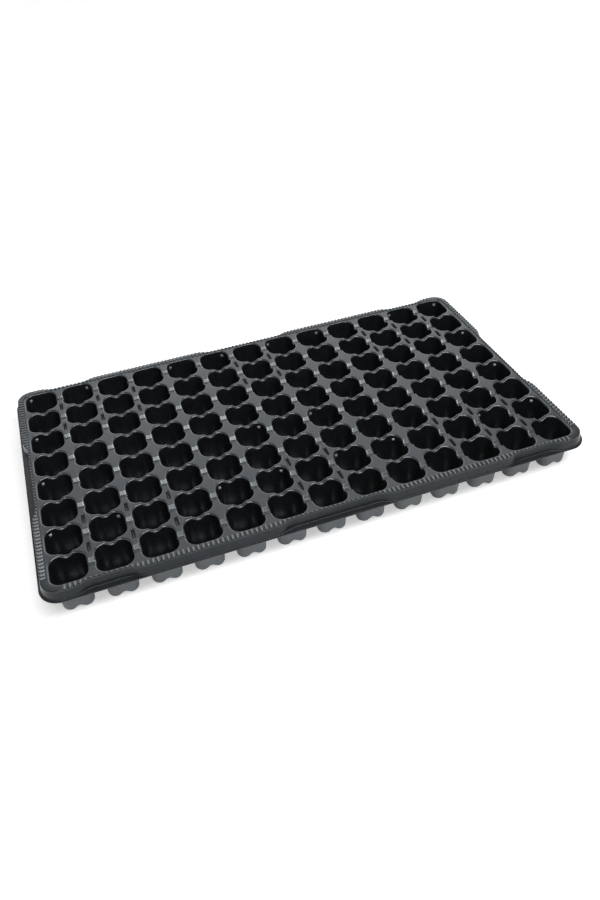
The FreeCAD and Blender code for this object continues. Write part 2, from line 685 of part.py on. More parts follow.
def rim_wire(inset, height, recessed):
    """The outline of the rim, a distance inside the lip's edge, with or without its recesses."""
    radius = size("lip_radius") - inset
    half_x = HALF_LENGTH - inset
    half_y = HALF_WIDTH - inset
    sides = [
        (half_x - radius, SIDE_RECESSES, lambda s, n: Vector(s, -half_y + n, height)),
        (half_y - radius, END_RECESSES, lambda s, n: Vector(half_x - n, s, height)),
        (half_x - radius, SIDE_RECESSES, lambda s, n: Vector(-s, half_y - n, height)),
        (half_y - radius, END_RECESSES, lambda s, n: Vector(-half_x + n, -s, height)),
    ]
    corners = [(1, -1), (1, 1), (-1, 1), (-1, -1)]
    edges = []
    for turn, (half, recesses, place) in enumerate(sides):
        edges += side_edges(half, recesses if recessed else [], place)
        side_x, side_y = corners[turn]
        hub = Vector(side_x * (half_x - radius), side_y * (half_y - radius), height)
        start = 90 * turn - 90
        edges.append(Part.makeCircle(radius, hub, Vector(0, 0, 1), start, start + 90))
    return Part.Wire(edges)


def prism(wire, height):
    return Part.Face(wire).extrude(Vector(0, 0, height))


def mitred(ring, name):
    """Cuts a ring of rim at its corners and makes a node of each side."""
    run = HALF_LENGTH - HALF_WIDTH
    far = 2 * HALF_LENGTH
    wedges = {
        "front": [(-run, 0), (-run - far, -far), (run + far, -far), (run, 0)],
        "right": [(run, 0), (run + far, -far), (run + far, far)],
        "back": [(run, 0), (run + far, far), (-run - far, far), (-run, 0)],
        "left": [(-run, 0), (-run - far, far), (-run - far, -far)],
    }
    for side, corners in wedges.items():
        points = [Vector(x, y, -MARGIN) for x, y in corners]
        wedge = prism(Part.makePolygon(points + points[:1]), 2 * size("deck_height"))
        piece = ring.common(wedge)
        group_node(f"{name}_{side}", Part.makeCompound(piece.Solids))


skirt_top = size("deck_height") - size("sheet_gauge")
lip_bottom = size("deck_height") - size("skirt_height")
lip_top = lip_bottom + size("lip_gauge")
bead_top = size("deck_height") + size("bead_rise")
bead_inset = size("lip_reach") + size("skirt_lean")
deck_inset = bead_inset + size("bead_width")


def make_skirt():
    """The drafted wall that hangs from the bead, one sheet thick."""
    faces = []
    for inward in (0, size("sheet_gauge")):
        foot = rim_wire(size("lip_reach") + inward, lip_top, True)
        top = rim_wire(bead_inset + inward, skirt_top, True)
        faces.append(Part.makeLoft([foot, top], True, True))
    outside, inside = faces
    return outside.cut(inside)


def make_lip():
    """The flat flange at the foot of the skirt, wide where the skirt steps in."""
    outside = prism(rim_wire(0, lip_bottom, False), size("lip_gauge"))
    inside = prism(rim_wire(size("lip_reach") + size("sheet_gauge"), lip_bottom, True), size("lip_gauge"))
    return outside.cut(inside)


def recess_inset(along, recesses):
    """How far the rim steps in at a place along a side."""
    radius = size("recess_round")
    depth = size("recess_depth")
    deepest = 0.0
    for middle, length in recesses:
        inside = length / 2 + BEND / 2 - abs(along - middle)
        if inside >= BEND:
            deepest = depth
        elif inside > BEND / 2:
            deepest = depth - radius + math.sqrt(radius**2 - (BEND - inside) ** 2)
        elif inside > 0:
            deepest = radius - math.sqrt(radius**2 - inside**2)
    return deepest


def side_ribs(half, recesses, place):
    """Cross ribs along one side, each as long as the bead is wide there."""
    usable = half - size("rib_free_corner")
    count = 2 * int(usable / size("rib_pitch")) + 1
    ribs = []
    for number in range(count):
        along = (number - (count - 1) / 2) * size("rib_pitch")
        edges = [along - size("rib_width") / 2, along + size("rib_width") / 2]
        near = max(recess_inset(edge, recesses) for edge in edges) + bead_inset + size("rib_setback")
        far = deck_inset - size("rib_inner_gap")
        if far - near >= size("shortest_rib"):
            corners = [(edges[0], near), (edges[1], near), (edges[1], far), (edges[0], far)]
            points = [place(*corner) for corner in corners]
            ribs.append(prism(Part.makePolygon(points + points[:1]), size("rib_rise")))
    return ribs


def make_bead():
    """The raised band round the top of the rim with its cross ribs."""
    bottom = skirt_top
    band = prism(rim_wire(bead_inset, bottom, True), bead_top - bottom)
    band = band.cut(prism(rim_wire(deck_inset, bottom, False), bead_top - bottom))
    ribs = []
    for sign in (-1, 1):
        ribs += side_ribs(
            HALF_LENGTH, SIDE_RECESSES, lambda s, n: Vector(s, sign * (HALF_WIDTH - n), bead_top)
        )
        ribs += side_ribs(
            HALF_WIDTH, END_RECESSES, lambda s, n: Vector(sign * (HALF_LENGTH - n), s, bead_top)
        )
    return band.fuse(ribs)


mitred(make_bead(), "rim_bead")
mitred(make_skirt(), "rim_skirt")
mitred(make_lip(), "rim_lip")


# ---------------------------------------------------------------- checks and files

doc.recompute()
for item in doc.Objects:
    if "Invalid" in item.State or "Error" in item.State:
        raise RuntimeError(f"{item.Label} failed: {item.State}")
shapes = {node.Label: Part.getShape(node) for node in nodes}
for label, shape in shapes.items():
    if shape.isNull() or not shape.isValid() or not shape.Solids:
        raise RuntimeError(f"{label} has no valid solid")

os.makedirs("parts", exist_ok=True)
for label, shape in shapes.items():
    shape.exportStep(f"parts/{label}.step")
    print(f"{label}: {len(shape.Solids)} solids, {shape.Volume:.0f} cubic mm, {shape.BoundBox}")
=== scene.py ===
import math

import bpy
import numpy as np
from mathutils import Matrix, Vector
from mathutils.geometry import delaunay_2d_cdt


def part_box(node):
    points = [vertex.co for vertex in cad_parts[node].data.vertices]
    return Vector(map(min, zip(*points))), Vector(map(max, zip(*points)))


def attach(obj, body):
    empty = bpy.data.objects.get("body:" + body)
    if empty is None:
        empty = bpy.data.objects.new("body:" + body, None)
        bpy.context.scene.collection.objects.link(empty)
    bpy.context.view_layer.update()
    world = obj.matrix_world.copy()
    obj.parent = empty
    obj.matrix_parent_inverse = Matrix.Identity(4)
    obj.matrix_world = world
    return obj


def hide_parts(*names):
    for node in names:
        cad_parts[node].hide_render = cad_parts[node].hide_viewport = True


# A thermoformed plug tray of black polystyrene: 104 tapered cups in thirteen columns and eight rows,
# hanging from one web inside a ribbed rim. Metres, origin in the middle of the footprint, +X along it.

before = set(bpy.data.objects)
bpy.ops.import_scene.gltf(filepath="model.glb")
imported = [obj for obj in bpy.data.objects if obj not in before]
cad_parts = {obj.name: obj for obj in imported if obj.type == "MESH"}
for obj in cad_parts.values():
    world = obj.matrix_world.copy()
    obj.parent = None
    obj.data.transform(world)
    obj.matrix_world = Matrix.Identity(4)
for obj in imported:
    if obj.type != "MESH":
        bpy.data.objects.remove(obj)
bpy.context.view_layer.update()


# ---------------------------------------------------------------- cups
# Each cup is drawn down from the hot sheet into a tapered socket, so its wall is thinner than the web.
# The mouth rolls over a soft edge from the web, which dips on the sides that face another cup. The base
# stands on four hollow feet with air channels between them, and its drain hole is punched afterwards.

MM = 0.001
COLUMNS = 13
ROWS = 8
DECK = 38.5 * MM  # top of the web above the ground
SHEET = 1.0 * MM  # web and rim
CUP_WALL = 0.6 * MM  # drawn wall
HALF_MOUTH_X = 16.0 * MM
HALF_MOUTH_Y = 16.25 * MM
MOUTH_CORNER = 9.5 * MM
MOUTH_ROLL = 1.7 * MM  # radius of the rolled edge between web and cup
RIM_ROLL = 1.0 * MM  # the same beside the long rims, where the web is narrowest
TAPER = 3.0 * MM  # how far a wall leans in from the web to the ground
LEAN = math.atan2(TAPER, DECK - SHEET)
FOOT_ROUND = 2.6 * MM  # inside radius between wall and foot
CHANNEL_HEIGHT = 3.2 * MM
CHANNEL_LEVEL = 1.3 * MM  # half the width of the channel's level ceiling
CHANNEL_EDGE = 3.7 * MM  # where the channel's side has come down to the foot
DRAIN_RADIUS = 4.5 * MM
DRAIN_LAND = 0.7 * MM  # level ring round the drain hole
DRAIN_SLOPE = 2.4 * MM

SADDLE_DEPTH = 3.2 * MM
SADDLE_BOTTOM = 3.0 * MM
SADDLE_HOLLOW = 2.0 * MM  # radius of the bend at the foot of a saddle's slope
SADDLE_CREST = 0.9 * MM  # radius of the bend at its top
HALF_LONG_SADDLE = 5.0 * MM
HALF_CROSS_SADDLE = 6.0 * MM

BEND_STEPS = 3
CORNER_STEPS = 9
ROLL_STEPS = 5
FOOT_STEPS = 5
WALL_LEVELS = (0.12, 0.3, 0.5, 0.7, 0.88)  # rings down the wall, as shares of its height
FLOOR_LEVELS = (0.2, 0.4, 0.6, 0.8, 1.0)  # rings across the base, in to the drain hole


def smooth(share):
    """Eases a share from 0 to 1 with level ends."""
    share = np.clip(share, 0.0, 1.0)
    return share * share * (3.0 - 2.0 * share)


def saddle_profile(half_length):
    """Half of a saddle's dip as (distance from its middle, drop below the web)."""
    slope = math.atan2(SADDLE_DEPTH, half_length - SADDLE_BOTTOM / 2)
    foot = SADDLE_BOTTOM / 2 - SADDLE_HOLLOW * math.tan(slope / 2)
    end = half_length + SADDLE_CREST * math.tan(slope / 2)
    angles = [slope * step / BEND_STEPS for step in range(BEND_STEPS + 1)]
    profile = [(0.0, SADDLE_DEPTH)]
    for angle in angles:
        rise = SADDLE_HOLLOW * (1 - math.cos(angle))
        profile.append((foot + SADDLE_HOLLOW * math.sin(angle), SADDLE_DEPTH - rise))
    for angle in reversed(angles):
        drop = SADDLE_CREST * (1 - math.cos(angle))
        profile.append((end - SADDLE_CREST * math.sin(angle), drop))
    return profile


def wall_offset(height):
    """How far the inside of a cup's wall stands out from its mouth line at a height."""
    return -TAPER * (1.0 - height / (DECK - SHEET))


def mouth_edge(roll):
    """Offset of the line where the rolled edge leaves the level web."""
    return wall_offset(DECK - roll) + roll / math.cos(LEAN)


STRAIGHT_X = HALF_MOUTH_X - MOUTH_CORNER
STRAIGHT_Y = HALF_MOUTH_Y - MOUTH_CORNER


def quarter_mouth():
    """Stations from the middle of a cup's side to the middle of its back.

    Each is a hub, a bearing from it, the side saddle's drop, the back saddle's drop and the share of
    the way round the corner. The numbers of the stations where the saddles end come with them.
    """
    reach = MOUTH_CORNER + mouth_edge(MOUTH_ROLL)
    side = []
    for along, drop in saddle_profile(HALF_LONG_SADDLE):
        beyond = max(along - STRAIGHT_Y, 0.0)
        side.append((STRAIGHT_X, along - beyond, math.asin(beyond / reach), drop, 0.0, 0.0))
    back = []
    for along, drop in saddle_profile(HALF_CROSS_SADDLE):
        beyond = max(along - STRAIGHT_X, 0.0)
        bearing = math.pi / 2 - math.asin(beyond / reach)
        back.append((along - beyond, STRAIGHT_Y, bearing, 0.0, drop, 1.0))
    back.reverse()
    first, last = side[-1][2], back[0][2]
    corner = []
    first_step = 0 if side[-1][1] < STRAIGHT_Y else 1
    last_step = CORNER_STEPS if back[0][0] < STRAIGHT_X else CORNER_STEPS - 1
    for step in range(first_step, last_step + 1):
        share = step / CORNER_STEPS
        corner.append((STRAIGHT_X, STRAIGHT_Y, first + (last - first) * share, 0.0, 0.0, share))
    stations = np.array(side + corner + back)
    return stations, len(side) - 1, len(side) + len(corner)


QUARTER, SIDE_END, BACK_END = quarter_mouth()
QUARTER_STEPS = len(QUARTER) - 1
QUARTER_SIGNS = [(1, 1), (-1, 1), (-1, -1), (1, -1)]


def mouth_index(quarter, station):
    """Place of a quarter's station in the whole loop, which turns left from the cup's right side."""
    steps = station if quarter % 2 == 0 else QUARTER_STEPS - station
    return (quarter * QUARTER_STEPS + steps) % (4 * QUARTER_STEPS)


def mouth_loop(has_right, has_left, has_back, has_front):
    """Hubs, outward directions, drops and roll radii round a whole mouth."""
    count = 4 * QUARTER_STEPS
    hubs = np.zeros((count, 2))
    outward = np.zeros((count, 2))
    drops = np.zeros(count)
    rolls = np.zeros(count)
    for quarter, (side_x, side_y) in enumerate(QUARTER_SIGNS):
        beside = has_right if side_x > 0 else has_left
        behind = has_back if side_y > 0 else has_front
        far_roll = MOUTH_ROLL if behind else RIM_ROLL
        for station, (hub_x, hub_y, bearing, side_drop, back_drop, share) in enumerate(QUARTER):
            place = mouth_index(quarter, station)
            hubs[place] = side_x * hub_x, side_y * hub_y
            outward[place] = side_x * math.cos(bearing), side_y * math.sin(bearing)
            drops[place] = side_drop * beside + back_drop * behind
            rolls[place] = MOUTH_ROLL + (far_roll - MOUTH_ROLL) * smooth(share)
    return hubs, outward, drops, rolls


def base_lift(x, y):
    """Height of a base's underside: nothing under the feet, the full height in the air channels."""
    span = CHANNEL_EDGE - CHANNEL_LEVEL
    clear_x = smooth((np.abs(x) - CHANNEL_LEVEL) / span)
    clear_y = smooth((np.abs(y) - CHANNEL_LEVEL) / span)
    clear_drain = smooth((np.hypot(x, y) - DRAIN_RADIUS - DRAIN_LAND) / DRAIN_SLOPE)
    return CHANNEL_HEIGHT * (1.0 - clear_x * clear_y * clear_drain)


def cup_surfaces(loop):
    """The inside and the outside of one cup, as rings of points from the web down to the drain hole."""
    hubs, outward, drops, rolls = loop
    inside = []
    outside = []

    def add_ring(offset, height, across, up, gauge):
        """One ring and its partner through the wall; across and up are the way the inside faces."""
        plan = hubs + outward * (MOUTH_CORNER + offset)[:, None]
        inside.append(np.column_stack([plan, height]))
        plan = plan - outward * (across * gauge)[:, None]
        outside.append(np.column_stack([plan, height - up * gauge]))

    ones = np.ones(len(drops))
    roll_middle = DECK - drops - rolls
    roll_offset = wall_offset(roll_middle) + rolls / math.cos(LEAN)
    for step in range(ROLL_STEPS + 1):
        angle = (math.pi / 2 - LEAN) * step / ROLL_STEPS
        offset = roll_offset - rolls * math.sin(angle)
        height = roll_middle + rolls * math.cos(angle)
        gauge = SHEET + (CUP_WALL - SHEET) * step / ROLL_STEPS
        add_ring(offset, height, -math.sin(angle) * ones, math.cos(angle) * ones, gauge)
    wall_top = height

    floor_line = wall_offset(FOOT_ROUND) - FOOT_ROUND
    edge = hubs + outward * (MOUTH_CORNER + floor_line)
    wall_foot = base_lift(edge[:, 0], edge[:, 1]) + CUP_WALL + FOOT_ROUND
    for level in WALL_LEVELS:
        height = wall_top + (wall_foot - wall_top) * level
        add_ring(wall_offset(height), height, -math.cos(LEAN) * ones, math.sin(LEAN) * ones, CUP_WALL)

    for step in range(FOOT_STEPS + 1):
        angle = math.pi / 2 * step / FOOT_STEPS
        offset = wall_offset(wall_foot) - FOOT_ROUND * (1 - math.cos(angle))
        plan = hubs + outward * (MOUTH_CORNER + offset)[:, None]
        lift = base_lift(plan[:, 0], plan[:, 1])
        height = lift + CUP_WALL + FOOT_ROUND * (1 - math.sin(angle))
        if step == 0:
            height = wall_foot
        add_ring(offset, height, -math.cos(angle) * ones, math.sin(angle) * ones, CUP_WALL)

    around = plan / np.linalg.norm(plan, axis=1)[:, None] * DRAIN_RADIUS
    for level in FLOOR_LEVELS:
        place = plan * (1 - level) + around * level
        lift = base_lift(place[:, 0], place[:, 1])
        inside.append(np.column_stack([place, lift + CUP_WALL]))
        outside.append(np.column_stack([place, lift]))
    return np.array(inside), np.array(outside)


def new_form():
    """An empty heap of points and faces for one moulded piece."""
    return {"points": [], "faces": [], "cuts": [], "sides": [], "count": 0}


def add_faces(form, faces, cut, side=0):
    """Adds faces. Cut ones are where the sheet is divided; side 1 is the underside, 2 a rolled edge."""
    form["faces"].append(np.asarray(faces, dtype=np.int32))
    form["cuts"].append(np.full(len(faces), cut))
    form["sides"].append(np.full(len(faces), side, dtype=np.int32))


def add_shell(form, upper, under, closed_loop, capped=False, edge_rings=0):
    """A closed shell between two grids of points, whose rings run inward and whose stations turn left.

    The upper side of its first edge_rings rings is its rolled edge, with a finish of its own.
    """
    rings, stations = upper.shape[:2]
    start = form["count"]
    form["points"] += [upper.reshape(-1, 3), under.reshape(-1, 3)]
    form["count"] += 2 * rings * stations
    top = start + np.arange(rings * stations).reshape(rings, stations)
    low = top + rings * stations
    if closed_loop:
        top = np.column_stack([top, top[:, 0]])
        low = np.column_stack([low, low[:, 0]])
    quads = np.stack([top[:-1, :-1], top[:-1, 1:], top[1:, 1:], top[1:, :-1]], axis=-1)
    if edge_rings:
        add_faces(form, quads[:edge_rings].reshape(-1, 4), False, 2)
    add_faces(form, quads[edge_rings:].reshape(-1, 4), False)
    quads = np.stack([low[:-1, :-1], low[1:, :-1], low[1:, 1:], low[:-1, 1:]], axis=-1)
    add_faces(form, quads.reshape(-1, 4), False, 1)
    add_faces(form, np.column_stack([top[0, :-1], low[0, :-1], low[0, 1:], top[0, 1:]]), True)
    if capped:
        add_faces(form, [top[-1, :-1]], False)
        add_faces(form, [low[-1, -2::-1]], False)
    else:
        add_faces(form, np.column_stack([top[-1, :-1], top[-1, 1:], low[-1, 1:], low[-1, :-1]]), True)
    if not closed_loop:
        add_faces(form, np.column_stack([top[:-1, 0], top[1:, 0], low[1:, 0], low[:-1, 0]]), True)
        add_faces(form, np.column_stack([top[:-1, -1], low[:-1, -1], low[1:, -1], top[1:, -1]]), True)


moulded_pieces = []


def make_piece(form, name, nodes, finish, other_finishes=()):
    """Makes a Blender object of a form, in place of CAD nodes, riding on the tray."""
    points = np.concatenate(form["points"]).astype(np.float32)
    corners = np.concatenate([faces.ravel() for faces in form["faces"]])
    sizes = np.concatenate([np.full(len(faces), faces.shape[1]) for faces in form["faces"]])
    starts = np.cumsum(sizes) - sizes
    mesh = bpy.data.meshes.new(name)
    mesh.vertices.add(len(points))
    mesh.vertices.foreach_set("co", points.ravel())
    mesh.loops.add(len(corners))
    mesh.loops.foreach_set("vertex_index", corners)
    mesh.polygons.add(len(sizes))
    mesh.polygons.foreach_set("loop_start", starts.astype(np.int32))
    mesh.update(calc_edges=True)
    mesh.shade_smooth()
    mesh.materials.append(finish)
    for other in other_finishes:
        mesh.materials.append(other)
    if other_finishes:
        mesh.polygons.foreach_set("material_index", np.concatenate(form["sides"]))
    piece = bpy.data.objects.new(name, mesh)
    bpy.context.scene.collection.objects.link(piece)
    moulded_pieces.append((mesh, np.concatenate(form["cuts"]), sizes))
    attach(piece, "root")
    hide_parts(*nodes)


POLYSTYRENE_IOR = 1.59
COOL_GLOSS = (0.88, 0.96, 1.0, 1.0)  # the slightly blue tint of its highlights
MOTTLE = (70, 4)  # each texture as (patches to the metre, levels of detail)
FINE_GLOSS = (160, 5)
BROAD_GLOSS = (12, 2)
GRAIN = (1100, 3)
DRAW_MARKS = (260, 2)
DRAW_STRETCH = (1, 1, 0.08)  # draws the marks out along the wall
FINE_GLOSS_SPREAD = 0.05  # how far the roughness strays, in fine patches and in broad ones
BROAD_GLOSS_SPREAD = 0.03
RELIEF_DEPTH = 0.05 * MM
TEXTURE_MIDDLE = (0.3, 0.7)  # the range in which most of a texture's values lie


def formed_plastic(name, tones, roughness, grain, draw_marks=0.0, gloss_level=0.5):
    """Black polystyrene sheet: a faint mottle, uneven gloss, fine grain and marks along the draw."""
    dark, light = tones
    finish = bpy.data.materials.new(name)
    finish.use_nodes = True
    nodes = finish.node_tree.nodes
    links = finish.node_tree.links
    shader = nodes["Principled BSDF"]
    shader.inputs["IOR"].default_value = POLYSTYRENE_IOR
    shader.inputs["Specular Tint"].default_value = COOL_GLOSS
    shader.inputs["Specular IOR Level"].default_value = gloss_level
    place = nodes.new("ShaderNodeTexCoord")

    def noise(size, stretch=None):
        """A texture of patches, drawn out along the axes if a stretch is given."""
        scale, detail = size
        texture = nodes.new("ShaderNodeTexNoise")
        texture.inputs["Scale"].default_value = scale
        texture.inputs["Detail"].default_value = detail
        source = place.outputs["Object"]
        if stretch:
            mapping = nodes.new("ShaderNodeMapping")
            mapping.inputs["Scale"].default_value = stretch
            links.new(source, mapping.inputs["Vector"])
            source = mapping.outputs["Vector"]
        links.new(source, texture.inputs["Vector"])
        return texture.outputs["Fac"]

    def spread(source, low, high):
        """Spreads a texture's middle range over low to high."""
        span = nodes.new("ShaderNodeMapRange")
        span.inputs["From Min"].default_value = TEXTURE_MIDDLE[0]
        span.inputs["From Max"].default_value = TEXTURE_MIDDLE[1]
        span.inputs["To Min"].default_value = low
        span.inputs["To Max"].default_value = high
        links.new(source, span.inputs["Value"])
        return span.outputs["Result"]

    mottle = nodes.new("ShaderNodeMix")
    mottle.data_type = "RGBA"
    mottle.inputs["A"].default_value = (*dark, 1)
    mottle.inputs["B"].default_value = (*light, 1)
    links.new(spread(noise(MOTTLE), 0, 1), mottle.inputs["Factor"])
    links.new(mottle.outputs["Result"], shader.inputs["Base Color"])

    gloss = nodes.new("ShaderNodeMath")
    gloss.operation = "ADD"
    dull, bright = roughness + FINE_GLOSS_SPREAD, roughness - FINE_GLOSS_SPREAD
    links.new(spread(noise(FINE_GLOSS), bright, dull), gloss.inputs[0])
    links.new(spread(noise(BROAD_GLOSS), -BROAD_GLOSS_SPREAD, BROAD_GLOSS_SPREAD), gloss.inputs[1])
    links.new(gloss.outputs["Value"], shader.inputs["Roughness"])

    relief = nodes.new("ShaderNodeMath")
    relief.operation = "ADD"
    links.new(spread(noise(GRAIN), 0, grain), relief.inputs[0])
    links.new(spread(noise(DRAW_MARKS, DRAW_STRETCH), 0, draw_marks), relief.inputs[1])
    bump = nodes.new("ShaderNodeBump")
    bump.inputs["Strength"].default_value = 1.0
    bump.inputs["Distance"].default_value = RELIEF_DEPTH
    links.new(relief.outputs["Value"], bump.inputs["Height"])
    links.new(bump.outputs["Normal"], shader.inputs["Normal"])
    return finish


column_x = []
for column in range(1, COLUMNS + 1):
    low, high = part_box(f"cup_walls_{column:02d}")
    column_x.append((low[0] + high[0]) / 2)
column_low, column_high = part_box("cup_walls_01")
first_row = column_low[1] + HALF_MOUTH_Y + CUP_WALL
last_row = column_high[1] - HALF_MOUTH_Y - CUP_WALL
row_y = list(np.linspace(first_row, last_row, ROWS))

# Each tone is the dark and the light of its mottle.
# Painted shade: the insides are darker than the web, which is the same sheet, for the shade deep in the
# cups.
PAINTED_SHADE_CUP_BLACK = ((0.005, 0.0055, 0.006), (0.0085, 0.009, 0.01))
# Painted light: the outsides are a much lighter grey than the web, for the white floor's bounce and
# reflection on them; the stretched thin wall is only a little greyer.
STRETCHED_AND_FLOOR_LIT_GREY = ((0.1, 0.108, 0.115), (0.126, 0.136, 0.144))
SHEET_BLACK = ((0.015, 0.017, 0.0195), (0.021, 0.0235, 0.0265))
WALL_MARKS = 1.2  # strength of the draw marks on the cup walls

cup_inside = formed_plastic(
    "drawn_cup_inside", PAINTED_SHADE_CUP_BLACK, roughness=0.32, grain=0.5, draw_marks=WALL_MARKS
)
cup_outside = formed_plastic(
    "drawn_cup_outside", STRETCHED_AND_FLOOR_LIT_GREY, roughness=0.5, grain=0.6, draw_marks=WALL_MARKS
)
cup_edge = formed_plastic("rolled_cup_edge", SHEET_BLACK, roughness=0.17, grain=0.2, gloss_level=0.75)
mouths = {}  # the line where each cup's rolled edge leaves the web, for the web to meet
for column in range(1, COLUMNS + 1):
    form = new_form()
    for row in range(1, ROWS + 1):
        inside, outside = cup_surfaces(mouth_loop(column < COLUMNS, column > 1, row < ROWS, row > 1))
        middle = np.array([column_x[column - 1], row_y[row - 1], 0.0])
        add_shell(form, inside + middle, outside + middle, True, edge_rings=ROLL_STEPS)
        mouths[column, row] = inside[0] + middle
    make_piece(
        form,
        f"cup_column_{column:02d}",
        [f"cup_walls_{column:02d}", f"cup_bases_{column:02d}"],
        cup_inside,
        (cup_outside, cup_edge),
    )


# ---------------------------------------------------------------- pad troughs
# In some pads of the web a narrow boat-shaped recess is drawn down to stiffen it. It is the same sheet,
# thinned at the bottom, and hangs from a slot-shaped opening in its pad.

TROUGH_HALF_WIDTH = 1.5 * MM
TROUGH_HALF_LENGTH = 6.0 * MM
TROUGH_DEPTH = 4.0 * MM
TROUGH_DRAFT = 0.8 * MM
TROUGH_ROLL = 1.2 * MM
TROUGH_ROUND = 0.4 * MM
TROUGH_END_STEPS = 12
TROUGH_COLUMN_EDGES = (1, 2, 3, 6, 7, 10, 11, 12)  # counted as the columns to the left of the pad
TROUGH_ROW_EDGES = (1, 2, 6, 7)

column_pitch = column_x[1] - column_x[0]
row_pitch = row_y[1] - row_y[0]


def pad_middle(column_edge, row_edge):
    """Centre of the pad behind so many rows and to the right of so many columns."""
    x = column_x[0] + (column_edge - 0.5) * column_pitch
    y = row_y[0] + (row_edge - 0.5) * row_pitch
    return np.array([x, y, 0.0])


def slot_ring(half_width, height):
    """A slot-shaped ring about the Z axis, turning left, with its length along Y."""
    run = TROUGH_HALF_LENGTH - TROUGH_HALF_WIDTH
    ring = []
    for end, start in ((1, 0.0), (-1, math.pi)):
        for step in range(TROUGH_END_STEPS + 1):
            angle = start + math.pi * step / TROUGH_END_STEPS
            along = end * run + half_width * math.sin(angle)
            ring.append((half_width * math.cos(angle), along, height))
    return np.array(ring)


def trough_surfaces():
    """The upper and under side of one trough, as rings from its opening down to its floor."""
    lean = math.atan2(TROUGH_DRAFT, TROUGH_DEPTH)
    upper = []
    under = []

    def add_ring(half_width, height, angle, gauge):
        """One ring and its partner through the sheet, whose face has turned from level by an angle."""
        upper.append(slot_ring(half_width, height))
        low_half_width = half_width + gauge * math.sin(angle)
        under.append(slot_ring(low_half_width, height - gauge * math.cos(angle)))

    def wall_half_width(depth):
        """Half of the trough's width at a depth, between its straight walls."""
        return TROUGH_HALF_WIDTH - TROUGH_DRAFT * depth / TROUGH_DEPTH

    steep = math.pi / 2 - lean
    middle = wall_half_width(TROUGH_ROLL) + TROUGH_ROLL / math.cos(lean)
    for step in range(ROLL_STEPS + 1):
        angle = steep * step / ROLL_STEPS
        gauge = SHEET + (CUP_WALL - SHEET) * step / ROLL_STEPS
        height = DECK - TROUGH_ROLL + TROUGH_ROLL * math.cos(angle)
        add_ring(middle - TROUGH_ROLL * math.sin(angle), height, angle, gauge)
    floor = TROUGH_DEPTH - CUP_WALL
    middle = wall_half_width(floor - TROUGH_ROUND) - TROUGH_ROUND / math.cos(lean)
    for step in range(BEND_STEPS + 1):
        angle = steep * (1 - step / BEND_STEPS)
        height = DECK - floor + TROUGH_ROUND - TROUGH_ROUND * math.cos(angle)
        add_ring(middle + TROUGH_ROUND * math.sin(angle), height, angle, CUP_WALL)
    return np.array(upper), np.array(under)


trough_upper, trough_under = trough_surfaces()
# Painted light: a little lighter than the web's tone, so that the narrow troughs look less dark inside.
TROUGH_PAINTED_LIGHT_BLACK = ((0.022, 0.022, 0.024), (0.03, 0.03, 0.032))
trough_finish = formed_plastic("drawn_trough", TROUGH_PAINTED_LIGHT_BLACK, roughness=0.4, grain=0.5, draw_marks=0.6)
form = new_form()
trough_slots = {}
for column_edge in TROUGH_COLUMN_EDGES:
    for row_edge in TROUGH_ROW_EDGES:
        middle = pad_middle(column_edge, row_edge)
        add_shell(form, trough_upper + middle, trough_under + middle, True, capped=True)
        trough_slots[column_edge, row_edge] = trough_upper[0] + middle
make_piece(form, "pad_trough_group", ["pad_troughs"], trough_finish)


# ---------------------------------------------------------------- web
# The web is what is left of the flat sheet between the cups: star-shaped pads where four cups meet, in
# strips from front to back, and at both ends a comb-shaped strip along the rim. Full sheet thickness.

RIM_FOOT = 9.9 * MM  # inner foot of the rim, in from the edge of the lip
LIP_CORNER = 19.0 * MM
FOOT_CORNER_STEPS = 8
SLOT_MARGIN = 0.999  # share of a trough's opening within which a point counts as inside it
SAME_POINT = 1e-9  # two points of an outline nearer than this are one


def mouth_run(cup, quarter, first, last):
    """Points of a cup's mouth line between two stations of a quarter, both included."""
    step = 1 if last >= first else -1
    places = [mouth_index(quarter, station) for station in range(first, last + step, step)]
    return mouths[cup][places]


def inside_slot(point, slot):
    """Whether a point lies in the opening of a trough."""
    middle = slot.mean(axis=0)
    run = TROUGH_HALF_LENGTH - TROUGH_HALF_WIDTH
    radius = slot[:, 0].max() - middle[0]
    along = max(abs(point[1] - middle[1]) - run, 0.0)
    return math.hypot(point[0] - middle[0], along) < radius * SLOT_MARGIN


def add_pad(form, outline, slot=None):
    """A flat pad of sheet inside an outline that turns left, with a trough's opening if it has one."""
    outlines = [outline] if slot is None else [outline, slot]
    points = np.concatenate(outlines)
    loops = []
    for part in outlines:
        start = sum(len(loop) for loop in loops)
        loops.append(list(range(start, start + len(part))))
    edges = [pair for loop in loops for pair in zip(loop, loop[1:] + loop[:1])]
    plan = [Vector((x, y)) for x, y in points[:, :2]]
    result = delaunay_2d_cdt(plan, edges, [], 1, SAME_POINT)
    own = [sources[0] for sources in result[3]]
    triangles = []
    for face in result[2]:
        corner = [own[number] for number in face]
        if slot is not None and inside_slot(points[corner].mean(axis=0), slot):
            continue
        triangles.append(corner)
    triangles = np.array(triangles)
    start = form["count"]
    under = points - np.array([0.0, 0.0, SHEET])
    form["points"] += [points, under]
    form["count"] += 2 * len(points)
    add_faces(form, start + triangles, False)
    add_faces(form, start + len(points) + triangles[:, ::-1], False)
    for number, loop in enumerate(loops):
        here = start + np.array(loop)
        there = np.roll(here, -1)
        wall = np.column_stack([here, here + len(points), there + len(points), there])
        add_faces(form, wall if number == 0 else wall[:, ::-1], True)


